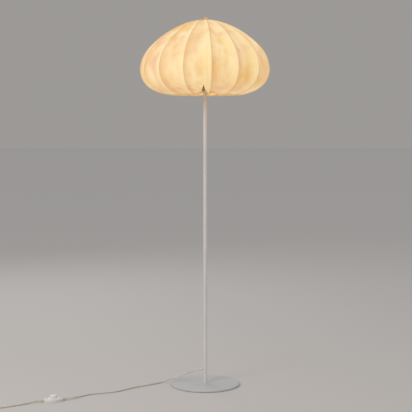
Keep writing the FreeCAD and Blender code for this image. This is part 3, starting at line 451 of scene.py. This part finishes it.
# The hem's distance from the axis, for places across the gores at either side of the closing.
CLOSING_HEM = [(-1, 0.083), (-0.82, 0.128), (-0.41, 0.155), (0.1, 0.176), (0.27, 0.206),
               (0.41, 0.231), (0.55, 0.198), (0.72, 0.176), (0.9, 0.153), (1, 0.13)]
SECOND_HEM = [(-1, 0.192), (-0.86, 0.201), (-0.6, 0.182), (-0.28, 0.155), (0.1, 0.142),
              (0.6, 0.122), (0.85, 0.1), (1, 0.083)]


def hem_radius(across, table=None):
    """How far out the hem lies, for a place across the gore from -1 to 1."""
    if table:
        return np.interp(across, *zip(*table))
    arch = (1 - abs(across) ** HEM_SQUARE) ** HEM_FULL
    return HEM_AT_RIB + (HEM_REACH - HEM_AT_RIB) * arch


def hem_step(across, table):
    """The step of the ridge line at which the hem lies."""
    below = ridge[waist_index:, 0]
    return waist_index + int(np.argmin(abs(below - hem_radius(across, table))))


def sunk(across, index, crease):
    """Share of the saddle's full depth at a place across a gore and a step along the ridge.
    It grows less under the waist; the closing gore has a soft crease."""
    depth = 1 - across ** 2
    if crease:
        depth -= CREASE_SHARE * math.exp(-((across - CREASE_PLACE) / CREASE_WIDTH) ** 2)
    under = max(0, index - waist_index) / (RIDGE_STEPS - waist_index)
    return depth * (1 - (1 - SKIRT_SADDLE) * min(under / SKIRT_FADE, 1))


def gore_spot(across, along, crease, more, bearing=0.0):
    """A point of a gore, sunk between its ribs and then by so much more."""
    low = min(int(along), RIDGE_STEPS - 2)
    share = along - low
    radius, level = ridge[low] * (1 - share) + ridge[low + 1] * share
    turn = across * HALF_STEP
    depth = SADDLE * 2 * radius * math.sin(HALF_STEP) * sunk(across, low, crease) + more
    flat = radius * math.cos(HALF_STEP) / math.cos(turn) + ridge_inward[low, 0] * depth
    return (flat * math.cos(bearing + turn), flat * math.sin(bearing + turn),
            level + ridge_inward[low, 1] * depth)


def pleat(across, radius):
    """Depth of the gathers round the knot, three to a gore, which fade out down the crown."""
    fade = math.exp(-((radius - PLEAT_RADIUS) / PLEAT_REACH) ** 2) * min(radius / PLEAT_START, 1)
    return PLEAT_DEPTH * abs(math.sin(1.5 * math.pi * (across + 1))) * fade


def gore_mesh(name, hem=None, crease=False):
    """One gore, between the directions -HALF_STEP and HALF_STEP about +X."""
    verts, faces, slack, sheet_map = [], [], [], []
    steps = np.arange(RIDGE_STEPS)
    for column in range(COLUMNS + 1):
        across = 2 * column / COLUMNS - 1
        last = hem_step(across, hem)
        for row in range(ROWS + 1):
            along = row / ROWS * last
            radius = float(np.interp(along, steps, ridge[:, 0]))
            verts.append(gore_spot(across, along, crease, pleat(across, radius)))
            slack.append(1 - across ** 2)
            sheet_map.append((column / COLUMNS, along / (RIDGE_STEPS - 1)))
    for column in range(COLUMNS):
        for row in range(ROWS):
            corner = column * (ROWS + 1) + row
            faces.append((corner, corner + 1, corner + ROWS + 2, corner + ROWS + 1))
    mesh = bpy.data.meshes.new(name)
    mesh.from_pydata(verts, [], faces)
    mesh.attributes.new("slack", "FLOAT", "POINT").data.foreach_set("value", slack)
    layer = mesh.uv_layers.new(name="gore")
    layer.data.foreach_set("uv", [value for loop in mesh.loops
                                  for value in sheet_map[loop.vertex_index]])
    return mesh


def grown(name, tree, **inputs):
    """The plain mesh that a geometry tree makes; its inputs are set by name."""
    carrier = bpy.data.objects.new(name + "_carrier", bpy.data.meshes.new(name + "_carrier"))
    bpy.context.scene.collection.objects.link(carrier)
    grower = carrier.modifiers.new("grower", "NODES")
    grower.node_group = tree
    for item in tree.interface.items_tree:
        if item.in_out == "INPUT" and item.name in inputs:
            grower[item.identifier] = inputs[item.name]
    seen_by = bpy.context.evaluated_depsgraph_get()
    mesh = bpy.data.meshes.new_from_object(carrier.evaluated_get(seen_by))
    bpy.data.objects.remove(carrier)
    return placed(name, mesh)


def placed(name, mesh):
    """A new object at the origin with that mesh."""
    mesh.name = name
    piece = bpy.data.objects.new(name, mesh)
    bpy.context.scene.collection.objects.link(piece)
    return piece


def geometry_tree(name, **sockets):
    """An empty geometry tree with named inputs. Returns it and a signal for each input."""
    tree = bpy.data.node_groups.new(name, "GeometryNodeTree")
    tree.interface.new_socket("Geometry", in_out="OUTPUT", socket_type="NodeSocketGeometry")
    for label, kind in sockets.items():
        tree.interface.new_socket(label, in_out="INPUT", socket_type="NodeSocket" + kind)
    entry = tree.nodes.new("NodeGroupInput")
    return tree, [Signal(tree, entry.outputs[label]) for label in sockets]


def closed_tree(tree, geometry, material):
    """Ends a geometry tree: instances made real, then the material."""
    real = geometry.node("GeometryNodeRealizeInstances", Geometry=geometry)
    done = real.node("GeometryNodeSetMaterial", Geometry=real, Material=material)
    leave = tree.nodes.new("NodeGroupOutput")
    tree.links.new(done.socket, leave.inputs["Geometry"])
    return tree


FOLD_SCALE, FINE_SCALE, FINE_SHARE, SEWING_GAP = 26.0, 75.0, 0.35, 0.00008


def silk_tree():
    """Plain gores on all ribs but two, the two at the closing, and a crinkle over them all."""
    tree, (plain, closing, second, count, bearing, step, height, material) = geometry_tree(
        "sewn_gores", Plain="Object", Closing="Object", Second="Object", Count="Int",
        Bearing="Float", Step="Float", Crinkle="Float", Material="Material")
    places = plain.node("GeometryNodeMeshLine", Count=count - 2, Offset=(0.0, 0.0, 0.0))
    number = plain.node("GeometryNodeInputIndex")
    turns = plain.node("CombineXYZ", Z=(number + 1.5) * step + bearing)
    source = plain.node("GeometryNodeObjectInfo", output="Geometry", Object=plain)
    gores = plain.node("GeometryNodeInstanceOnPoints", Points=places, Instance=source,
                       Rotation=turns)
    parts = [gores]
    for piece, place in ((second, step * 0.5), (closing, (count - 0.5) * step)):
        source = plain.node("GeometryNodeObjectInfo", output="Geometry", Object=piece)
        turn = plain.node("CombineXYZ", Z=place + bearing)
        parts.append(plain.node("GeometryNodeTransform", Geometry=source, Rotation=turn))
    joined = parts[0].joined(parts[1:])
    real = joined.node("GeometryNodeRealizeInstances", Geometry=joined)
    sewn = real.node("GeometryNodeMergeByDistance", Geometry=real, Distance=SEWING_GAP)
    slack = real.node("GeometryNodeInputNamedAttribute", output="Attribute", Name="slack")
    place = real.node("GeometryNodeInputPosition")
    folds = real.node("TexNoise", Vector=place, Scale=FOLD_SCALE, Detail=2.0)
    creases = real.node("TexNoise", Vector=place, Scale=FINE_SCALE, Detail=2.0)
    swell = ((folds - 0.5) + (creases - 0.5) * FINE_SHARE) * slack * height
    normal = real.node("GeometryNodeInputNormal")
    lift = normal.node("VectorMath", {"operation": "SCALE"}, _0=normal, Scale=swell)
    crinkled = real.node("GeometryNodeSetPosition", Geometry=sewn, Offset=lift)
    return closed_tree(tree, crinkled, material)


# Glow of the lit silk: bright and plain silk, a painted highlight on each gore's flank towards
# the light, and the deep amber of the hem. Painted shade deepens it in the folds round the knot,
# on each gore's other flank, where the silk also lies doubled beside a seam, and on the lamp's
# right side. Yellow and rose patches, and the seams, dimmed as the ribs' painted shadow. Then
# the silk's own dye, with painted shade on the same flanks.
GLOW_BRIGHT, GLOW_PLAIN, GLOW_DEEP = (0.76, 0.58, 0.28), (0.68, 0.41, 0.15), (0.57, 0.22, 0.04)
GLOW_YELLOW, GLOW_ROSE = (0.70, 0.46, 0.09), (0.69, 0.35, 0.19)
SEAM_GLOW = (0.47, 0.33, 0.13)
SILK_DYE, SILK_DYE_DEEP_AND_SHADE = (0.33, 0.28, 0.22), (0.28, 0.21, 0.13)
# Span of object X over which the lamp's right side, turned from the light, takes painted shade.
RIGHT_SIDE_SHADE_SPAN = (0.200, 0.226)


def lit_silk(signal):
    """Silk with lamp light behind it: cloudy and deeper in colour by the hem. It has painted
    shade by the knot, on each gore's flank beside a seam, where the silk also lies doubled, and
    on the lamp's right side. It has a painted highlight on each gore's other flank and the ribs'
    painted shadow on the seams."""
    spot = signal.node("UVMap", {"uv_map": "gore"})
    split = spot.node("SeparateXYZ", _0=spot)
    across = Signal(split.tree, split.socket.node.outputs[0])
    along = Signal(split.tree, split.socket.node.outputs[1])
    clouds = signal.noise(8, 3, stretch=(1, 1, 0.6)).between(0.36, 0.64)
    patches = signal.noise(21, 3, stretch=(1, 1, 0.7)).between(0.44, 0.66)
    tints = signal.noise(13, 2, stretch=(1, 1, 0.5))
    weave = signal.noise(900, 2, stretch=(1, 1, 0.25))
    # The seams: a dim line along each rib, its painted shadow on the lit silk over the seam.
    seam = across.maths("ABSOLUTE", (across - 0.5) * 2).between(0.955, 0.99)
    # Painted shade on each gore's flank turned from the light, where the silk also lies doubled
    # beside the seam.
    shaded_and_doubled_flank = 1 - across.between(0.02, 0.30)
    # Painted highlight on each gore's flank that faces the light from the left.
    lit_flank_highlight = across.between(0.52, 0.86)
    low = along.between(0.50, 0.88)
    # Painted shade in the gathers round the knot, deepest at the seams.
    crown_fold_shade = 1 - along.between(0.01, 0.11)
    pleats = across.maths("COSINE", across * math.tau) * 0.5 + 0.5
    colour = clouds.blended(GLOW_PLAIN, GLOW_BRIGHT)
    colour = (tints.between(0.52, 0.64) * 0.6).blended(colour, GLOW_YELLOW)
    colour = ((1 - tints.between(0.38, 0.47)) * 0.6).blended(colour, GLOW_ROSE)
    colour = (patches * 0.3).blended(colour, GLOW_DEEP)
    colour = (lit_flank_highlight * 0.62).blended(colour, GLOW_BRIGHT)
    place = signal.node("TexCoord", output=3)
    # Painted shade on the lamp's right side, turned from the light.
    right_side_shade = place.node("SeparateXYZ", _0=place).between(*RIGHT_SIDE_SHADE_SPAN)
    colour = (right_side_shade * 0.35).blended(colour, GLOW_DEEP)
    colour = (low * 0.18 + shaded_and_doubled_flank * 0.34).clamped().blended(colour, GLOW_DEEP)
    colour = (crown_fold_shade * pleats * 0.85).clamped().blended(colour, GLOW_DEEP)
    colour = (seam * 0.7).blended(colour, SEAM_GLOW)
    # The silk's dye, deeper in random patches and towards the hem, and on the shaded flanks as
    # painted shade.
    dye_and_shade = (patches * 0.4 + low * 0.4 + shaded_and_doubled_flank * 0.2).clamped().blended(SILK_DYE,
                                                                      SILK_DYE_DEEP_AND_SHADE)
    return {"Emission_Color": colour, "Base_Color": dye_and_shade,
            "Roughness": weave * 0.15 + 0.5,
            "Normal": signal.bump(weave, 0.2, 0.0003)}


silk = finish("lit_silk", lit_silk, Emission_Strength=1.0, Specular_IOR_Level=0.3,
              Sheen_Weight=0.35, Sheen_Roughness=0.4)
patterns = [placed(name, gore_mesh(name, hem, crease)) for name, hem, crease in (
    ("plain_gore", None, False), ("closing_gore", CLOSING_HEM, True),
    ("second_gore", SECOND_HEM, False))]
plain, closing, second = patterns
STEP, CRINKLE = 2 * HALF_STEP, 0.0016
panels = grown("silk_panels", silk_tree(), Plain=plain, Closing=closing, Second=second,
               Count=RIB_COUNT, Bearing=math.radians(FIRST_RIB), Step=STEP, Crinkle=CRINKLE,
               Material=silk)
for pattern in patterns:
    bpy.data.objects.remove(pattern)
skin = panels.modifiers.new("skin", "SOLIDIFY")
skin.thickness = SILK_THICKNESS
skin.offset = -1
skinned = bpy.data.meshes.new_from_object(
    panels.evaluated_get(bpy.context.evaluated_depsgraph_get()))
panels.modifiers.clear()
panels.data = skinned
skinned.set_sharp_from_angle(angle=math.radians(EDGE_ANGLE))
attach(panels, LAMP)
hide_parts("shade_panels")

# ------------------------------------------------------------------ seams and hem
# A fine welt is sewn along every rib, from the knot down to the mouth ring. The hem is a
# narrow folded binding that follows each gore's arch, with a row of hand stitches.
WELT_RADIUS, BINDING_WIDTH, BINDING_THICKNESS = 0.0007, 0.005, 0.0009
WELT_FIRST, WELT_EVERY, WELT_LIFT = 4, 8, 0.0002
STITCH_STEP, STITCH_LENGTH, STITCH_PROUD, STITCH_WIDE = 0.0065, 0.0032, 1.6, 0.6
HEM_STEPS = 20


def path_object(name, points):
    """A bare polyline for a geometry tree to follow."""
    mesh = bpy.data.meshes.new(name)
    mesh.from_pydata(points, [(place, place + 1) for place in range(len(points) - 1)], [])
    return placed(name, mesh)


def welt_tree():
    """One round welt along a path, repeated round the pole."""
    tree, (path, count, bearing, step, radius, material) = geometry_tree(
        "welts", Path="Object", Count="Int", Bearing="Float", Step="Float", Radius="Float",
        Material="Material")
    line = path.node("GeometryNodeObjectInfo", output="Geometry", Object=path)
    curve = line.node("GeometryNodeMeshToCurve", Mesh=line)
    rim = line.node("GeometryNodeCurvePrimitiveCircle", Resolution=6, Radius=radius)
    welt = curve.node("GeometryNodeCurveToMesh", Curve=curve, Profile_Curve=rim,
                      Fill_Caps=True)
    number = path.node("GeometryNodeInputIndex")
    places = path.node("GeometryNodeMeshLine", Count=count, Offset=(0.0, 0.0, 0.0))
    turns = path.node("CombineXYZ", Z=number * step + bearing)
    ring = path.node("GeometryNodeInstanceOnPoints", Points=places, Instance=welt,
                     Rotation=turns)
    return closed_tree(tree, ring, material)


def binding_tree():
    """A flat binding along a path, with stitches at even steps along it."""
    tree, (path, width, thickness, pitch, stitch, material) = geometry_tree(
        "binding", Path="Object", Width="Float", Thickness="Float", Pitch="Float",
        Stitch="Float", Material="Material")
    line = path.node("GeometryNodeObjectInfo", output="Geometry", Object=path)
    curve = line.node("GeometryNodeMeshToCurve", Mesh=line)
    band = line.node("GeometryNodeCurvePrimitiveCircle", Resolution=8, Radius=0.5)
    band = band.node("GeometryNodeTransform", Geometry=band,
                     Scale=band.node("CombineXYZ", X=thickness, Y=width, Z=1.0))
    tape = curve.node("GeometryNodeCurveToMesh", Curve=curve, Profile_Curve=band,
                      Fill_Caps=True)
    spots = curve.node("GeometryNodeCurveToPoints", {"mode": "LENGTH"}, Curve=curve,
                       Length=pitch)
    turns = Signal(tree, spots.socket.node.outputs["Rotation"])
    thread = curve.node("GeometryNodeMeshUVSphere", Segments=6, Rings=4, Radius=0.5)
    thread = thread.node("GeometryNodeTransform", Geometry=thread,
                         Scale=thread.node("CombineXYZ", X=thickness * STITCH_PROUD,
                                           Y=thickness * STITCH_WIDE, Z=stitch))
    row = spots.node("GeometryNodeInstanceOnPoints", Points=spots, Instance=thread,
                     Rotation=turns)
    return closed_tree(tree, tape.joined([row]), material)


def ridge_spot(index, outward):
    """A point on the silk's ridge line in the direction of +X, moved out by so much."""
    radius, level = ridge[index] - ridge_inward[index] * outward
    return (radius, 0.0, level)


def hem_points():
    """The hem's line, gore after gore round the lamp from the closing and back to it."""
    points = []
    for number in range(RIB_COUNT):
        table = {0: SECOND_HEM, RIB_COUNT - 1: CLOSING_HEM}.get(number)
        bearing = math.radians(FIRST_RIB) + (number + 0.5) * STEP
        for place in range(1 if points else 0, 2 * HEM_STEPS + 1):
            across = place / HEM_STEPS - 1
            points.append(gore_spot(across, hem_step(across, table), number == RIB_COUNT - 1,
                                    SILK_THICKNESS / 2, bearing))
    return points


def warm_thread(colour, glow):
    """Sewn edge: twill grain on a plain colour, lit through like the silk beside it."""
    def paint(signal):
        twill = signal.noise(700, 2)
        return {"Base_Color": twill.blended(colour, tuple(0.8 * c for c in colour)),
                "Emission_Color": twill.blended(glow, tuple(0.85 * c for c in glow)),
                "Normal": signal.bump(twill, 0.3, 0.0002)}
    return paint


welt_path = path_object("welt_path", [
    ridge_spot(index, WELT_LIFT) for index in range(WELT_FIRST, RIDGE_STEPS, WELT_EVERY)])
welts = grown("seam_welts", welt_tree(), Path=welt_path, Count=RIB_COUNT,
              Bearing=math.radians(FIRST_RIB), Step=STEP, Radius=WELT_RADIUS,
              Material=finish("welt_thread", warm_thread((0.36, 0.30, 0.18), SEAM_GLOW),
                              Emission_Strength=1.0, Roughness=0.8))
hem_path = path_object("hem_path", hem_points())
binding = grown("hem_binding", binding_tree(), Path=hem_path, Width=BINDING_WIDTH,
                Thickness=BINDING_THICKNESS, Pitch=STITCH_STEP, Stitch=STITCH_LENGTH,
                Material=finish("binding_silk", warm_thread((0.42, 0.34, 0.22),
                                                            (0.52, 0.30, 0.11)),
                                Emission_Strength=1.0, Roughness=0.75))
for piece in (welts, binding):
    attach(piece, LAMP)
for path in (welt_path, hem_path):
    bpy.data.objects.remove(path)

# ------------------------------------------------------------------ knot
# The gores' upper edges are gathered through the ring in pleats, wound with thread and left
# as a small pleated tuft that leans to the right.
KNOT_FOOT, KNOT_LEAN, KNOT_TOP, KNOT_NECK, KNOT_RAGGED = 1.4890, 0.004, 0.011, 0.006, 0.0006
KNOT_RINGS = [(0.0, 0.0062), (0.002, 0.0066), (0.0033, 0.0052), (0.0046, 0.0045),
              (0.0062, 0.0046), (0.0078, 0.0062), (0.0095, 0.0072), (0.011, 0.0066),
              (0.0113, 0.0045), (0.0104, 0.0022)]
PLEATS, PLEAT_SHARE, PLEAT_SIDES = 15, 0.16, 90
WINDING_RADIUS, WINDING_TURNS, WINDING_HEIGHT, THREAD_RADIUS = 0.0053, 4.0, 0.0022, 0.0004
WINDING_SIDE, WINDING_RISE = 0.0006, 0.0036


def pleated_knot():
    """The tuft as a stack of pleated rings, closed at both ends, each a height and a radius."""
    verts, faces = [], []
    for height, radius in KNOT_RINGS:
        lean = KNOT_LEAN * (height / KNOT_TOP) ** 2
        for side in range(PLEAT_SIDES):
            turn = side / PLEAT_SIDES * math.tau
            depth = 1 + PLEAT_SHARE * math.sin(turn * PLEATS) * min(height / KNOT_NECK, 1)
            ragged = KNOT_RAGGED * math.sin(turn * 4 + 1) * (height / KNOT_TOP) ** 2
            verts.append((lean + radius * depth * math.cos(turn),
                          radius * depth * math.sin(turn), KNOT_FOOT + height + ragged))
    rings = len(KNOT_RINGS)
    for ring in range(rings - 1):
        for side in range(PLEAT_SIDES):
            here = ring * PLEAT_SIDES + side
            beside = ring * PLEAT_SIDES + (side + 1) % PLEAT_SIDES
            faces.append((here, beside, beside + PLEAT_SIDES, here + PLEAT_SIDES))
    faces.append(tuple(reversed(range(PLEAT_SIDES))))
    faces.append(tuple(range((rings - 1) * PLEAT_SIDES, rings * PLEAT_SIDES)))
    mesh = bpy.data.meshes.new("silk_knot")
    mesh.from_pydata(verts, [], faces)
    return mesh


def winding_tree():
    """A thread wound in close turns round the knot's neck."""
    tree, (radius, turns, height, thread, material) = geometry_tree(
        "winding", Radius="Float", Turns="Float", Height="Float", Thread="Float",
        Material="Material")
    coil = radius.node("GeometryNodeCurveSpiral", Resolution=28, Rotations=turns,
                       Start_Radius=radius, End_Radius=radius, Height=height)
    rim = radius.node("GeometryNodeCurvePrimitiveCircle", Resolution=8, Radius=thread)
    wound = coil.node("GeometryNodeCurveToMesh", Curve=coil, Profile_Curve=rim,
                      Fill_Caps=True)
    return closed_tree(tree, wound, material)


knot = dress(placed("silk_knot", pleated_knot()), finish(
    "knot_silk", warm_thread((0.50, 0.40, 0.25), (0.34, 0.20, 0.07)), Emission_Strength=1.0,
    Roughness=0.7))
knot.data.shade_smooth()
winding = grown("knot_winding", winding_tree(), Radius=WINDING_RADIUS, Turns=WINDING_TURNS,
                Height=WINDING_HEIGHT, Thread=THREAD_RADIUS, Material=finish(
                    "knot_thread", warm_thread((0.55, 0.45, 0.30), (0.2, 0.13, 0.05)),
                    Emission_Strength=1.0, Roughness=0.8))
winding.data.transform(Matrix.Translation((WINDING_SIDE, 0, KNOT_FOOT + WINDING_RISE)))
for piece, covered, slot in ((knot, "top_knot", "knot_silk"),
                             (winding, "knot_tie", "thread")):
    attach(piece, LAMP)
    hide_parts(covered)

# ------------------------------------------------------------------ foot switch
# Two screwed shells of warm white plastic with a fine joint between them, a round push button
# on a sprung plunger over its contact block, and soft ribbed sleeves at the lead's two ends.
SHELL_HALF_LENGTH, SHELL_HALF_WIDTH, SHELL_JOINT, JOINT_BEAD = 0.040, 0.025, 0.007, 0.00022
SLEEVE_ROOT, SLEEVE_TIP, SLEEVE_BEAD, SLEEVE_RINGS = 0.0048, 0.0036, 0.0005, 4


def beads_tree():
    """Rings along +Z round a sleeve that tapers from its root to its tip."""
    tree, (count, length, root, tip, bead, material) = geometry_tree(
        "sleeve_beads", Count="Int", Length="Float", Root="Float", Tip="Float", Bead="Float",
        Material="Material")
    row = count.node("GeometryNodeMeshLine", Count=count,
                     Offset=count.node("CombineXYZ", Z=length / (count + 1.0)))
    share = (count.node("GeometryNodeInputIndex") + 1.0) / (count + 1.0)
    wide = root + (tip - root) * share
    ring = count.node("GeometryNodeCurvePrimitiveCircle", Resolution=28, Radius=1.0)
    rings = row.node("GeometryNodeInstanceOnPoints", Points=row, Instance=ring,
                     Scale=row.node("CombineXYZ", X=wide, Y=wide, Z=1.0))
    rings = rings.node("GeometryNodeRealizeInstances", Geometry=rings)
    rim = count.node("GeometryNodeCurvePrimitiveCircle", Resolution=8, Radius=bead)
    beads = rings.node("GeometryNodeCurveToMesh", Curve=rings, Profile_Curve=rim)
    return closed_tree(tree, beads, material)


def oval_tree():
    """A fine bead round an oval."""
    tree, (length, width, bead, material) = geometry_tree(
        "oval_bead", Length="Float", Width="Float", Bead="Float", Material="Material")
    ring = length.node("GeometryNodeCurvePrimitiveCircle", Resolution=96, Radius=1.0)
    ring = ring.node("GeometryNodeTransform", Geometry=ring,
                     Scale=ring.node("CombineXYZ", X=length, Y=width, Z=1.0))
    rim = ring.node("GeometryNodeCurvePrimitiveCircle", Resolution=6, Radius=bead)
    bead_ring = ring.node("GeometryNodeCurveToMesh", Curve=ring, Profile_Curve=rim)
    return closed_tree(tree, bead_ring, material)


switch_shell = finish("switch_shell", sheath((0.76, 0.72, 0.69), (0.69, 0.65, 0.62)))
button_plastic = finish("button_plastic", sheath((0.80, 0.77, 0.74), (0.73, 0.70, 0.67)))
sleeve_plastic = finish("sleeve_plastic", sheath((0.66, 0.60, 0.53), (0.58, 0.53, 0.46)))
dress(nodes["switch_base"], switch_shell)
dress(nodes["switch_cover"], switch_shell)
dress(nodes["switch_button"], button_plastic)
dress(nodes["switch_plunger"], button_plastic)
dress(nodes["switch_reliefs"], sleeve_plastic)
joint_shadow = finish("joint_shadow", sheath((0.30, 0.28, 0.26), (0.25, 0.23, 0.21)))
shell_joint = grown("shell_joint", oval_tree(), Length=SHELL_HALF_LENGTH,
                    Width=SHELL_HALF_WIDTH, Bead=JOINT_BEAD, Material=joint_shadow)
shell_joint.data.transform(Matrix.Translation((SWITCH_CENTRE.x, SWITCH_CENTRE.y, SHELL_JOINT))
                           @ Matrix.Rotation(SWITCH_TURN, 4, "Z"))
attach(shell_joint, LAMP)
beads = beads_tree()


def sleeve_beads(name, root, direction, length, count):
    """Moulded rings round a lead sleeve, from its root in the given direction."""
    rings = grown(name, beads, Count=count, Length=length, Root=SLEEVE_ROOT, Tip=SLEEVE_TIP,
                  Bead=SLEEVE_BEAD, Material=sleeve_plastic)
    rings.data.transform(Matrix.Translation(root + direction * (length / (count + 1)))
                         @ direction.to_track_quat("Z", "Y").to_matrix().to_4x4())
    rings.data.shade_smooth()
    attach(rings, LAMP)


for name, side in (("sleeve_beads_in", 1), ("sleeve_beads_out", -1)):
    sleeve_beads(name, SWITCH_CENTRE + switch_along * side * SHELL_HALF_LENGTH,
                 switch_along * side, SWITCH_REACH - SHELL_HALF_LENGTH, SLEEVE_RINGS)
dress(nodes["switch_module"], finish("module_plastic", sheath((0.08, 0.08, 0.085),
                                                              (0.06, 0.06, 0.06))))
spring = dress(nodes["switch_spring"], finish(
    "spring_steel", bare_metal((0.62, 0.62, 0.62), 0.3), Metallic=1.0))
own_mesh(spring)

# ------------------------------------------------------------------ plug
# A flat two-pin mains plug moulded on the lead: soft white body with a waist for the fingers,
# a ribbed sleeve behind it and two round brass-tipped pins.
dress(nodes["plug_body"], finish("plug_plastic", sheath((0.60, 0.56, 0.52),
                                                        (0.54, 0.50, 0.46))))
dress(nodes["plug_relief"], sleeve_plastic)
dress(nodes["plug_pins"], brass)
PLUG_SLEEVE, PLUG_RINGS = 0.022, 7
sleeve_beads("sleeve_beads_plug", PLUG_TIP + Vector((0, PLUG_SLEEVE, 0)), Vector((0, -1, 0)),
             PLUG_SLEEVE, PLUG_RINGS)

bpy.context.view_layer.update()
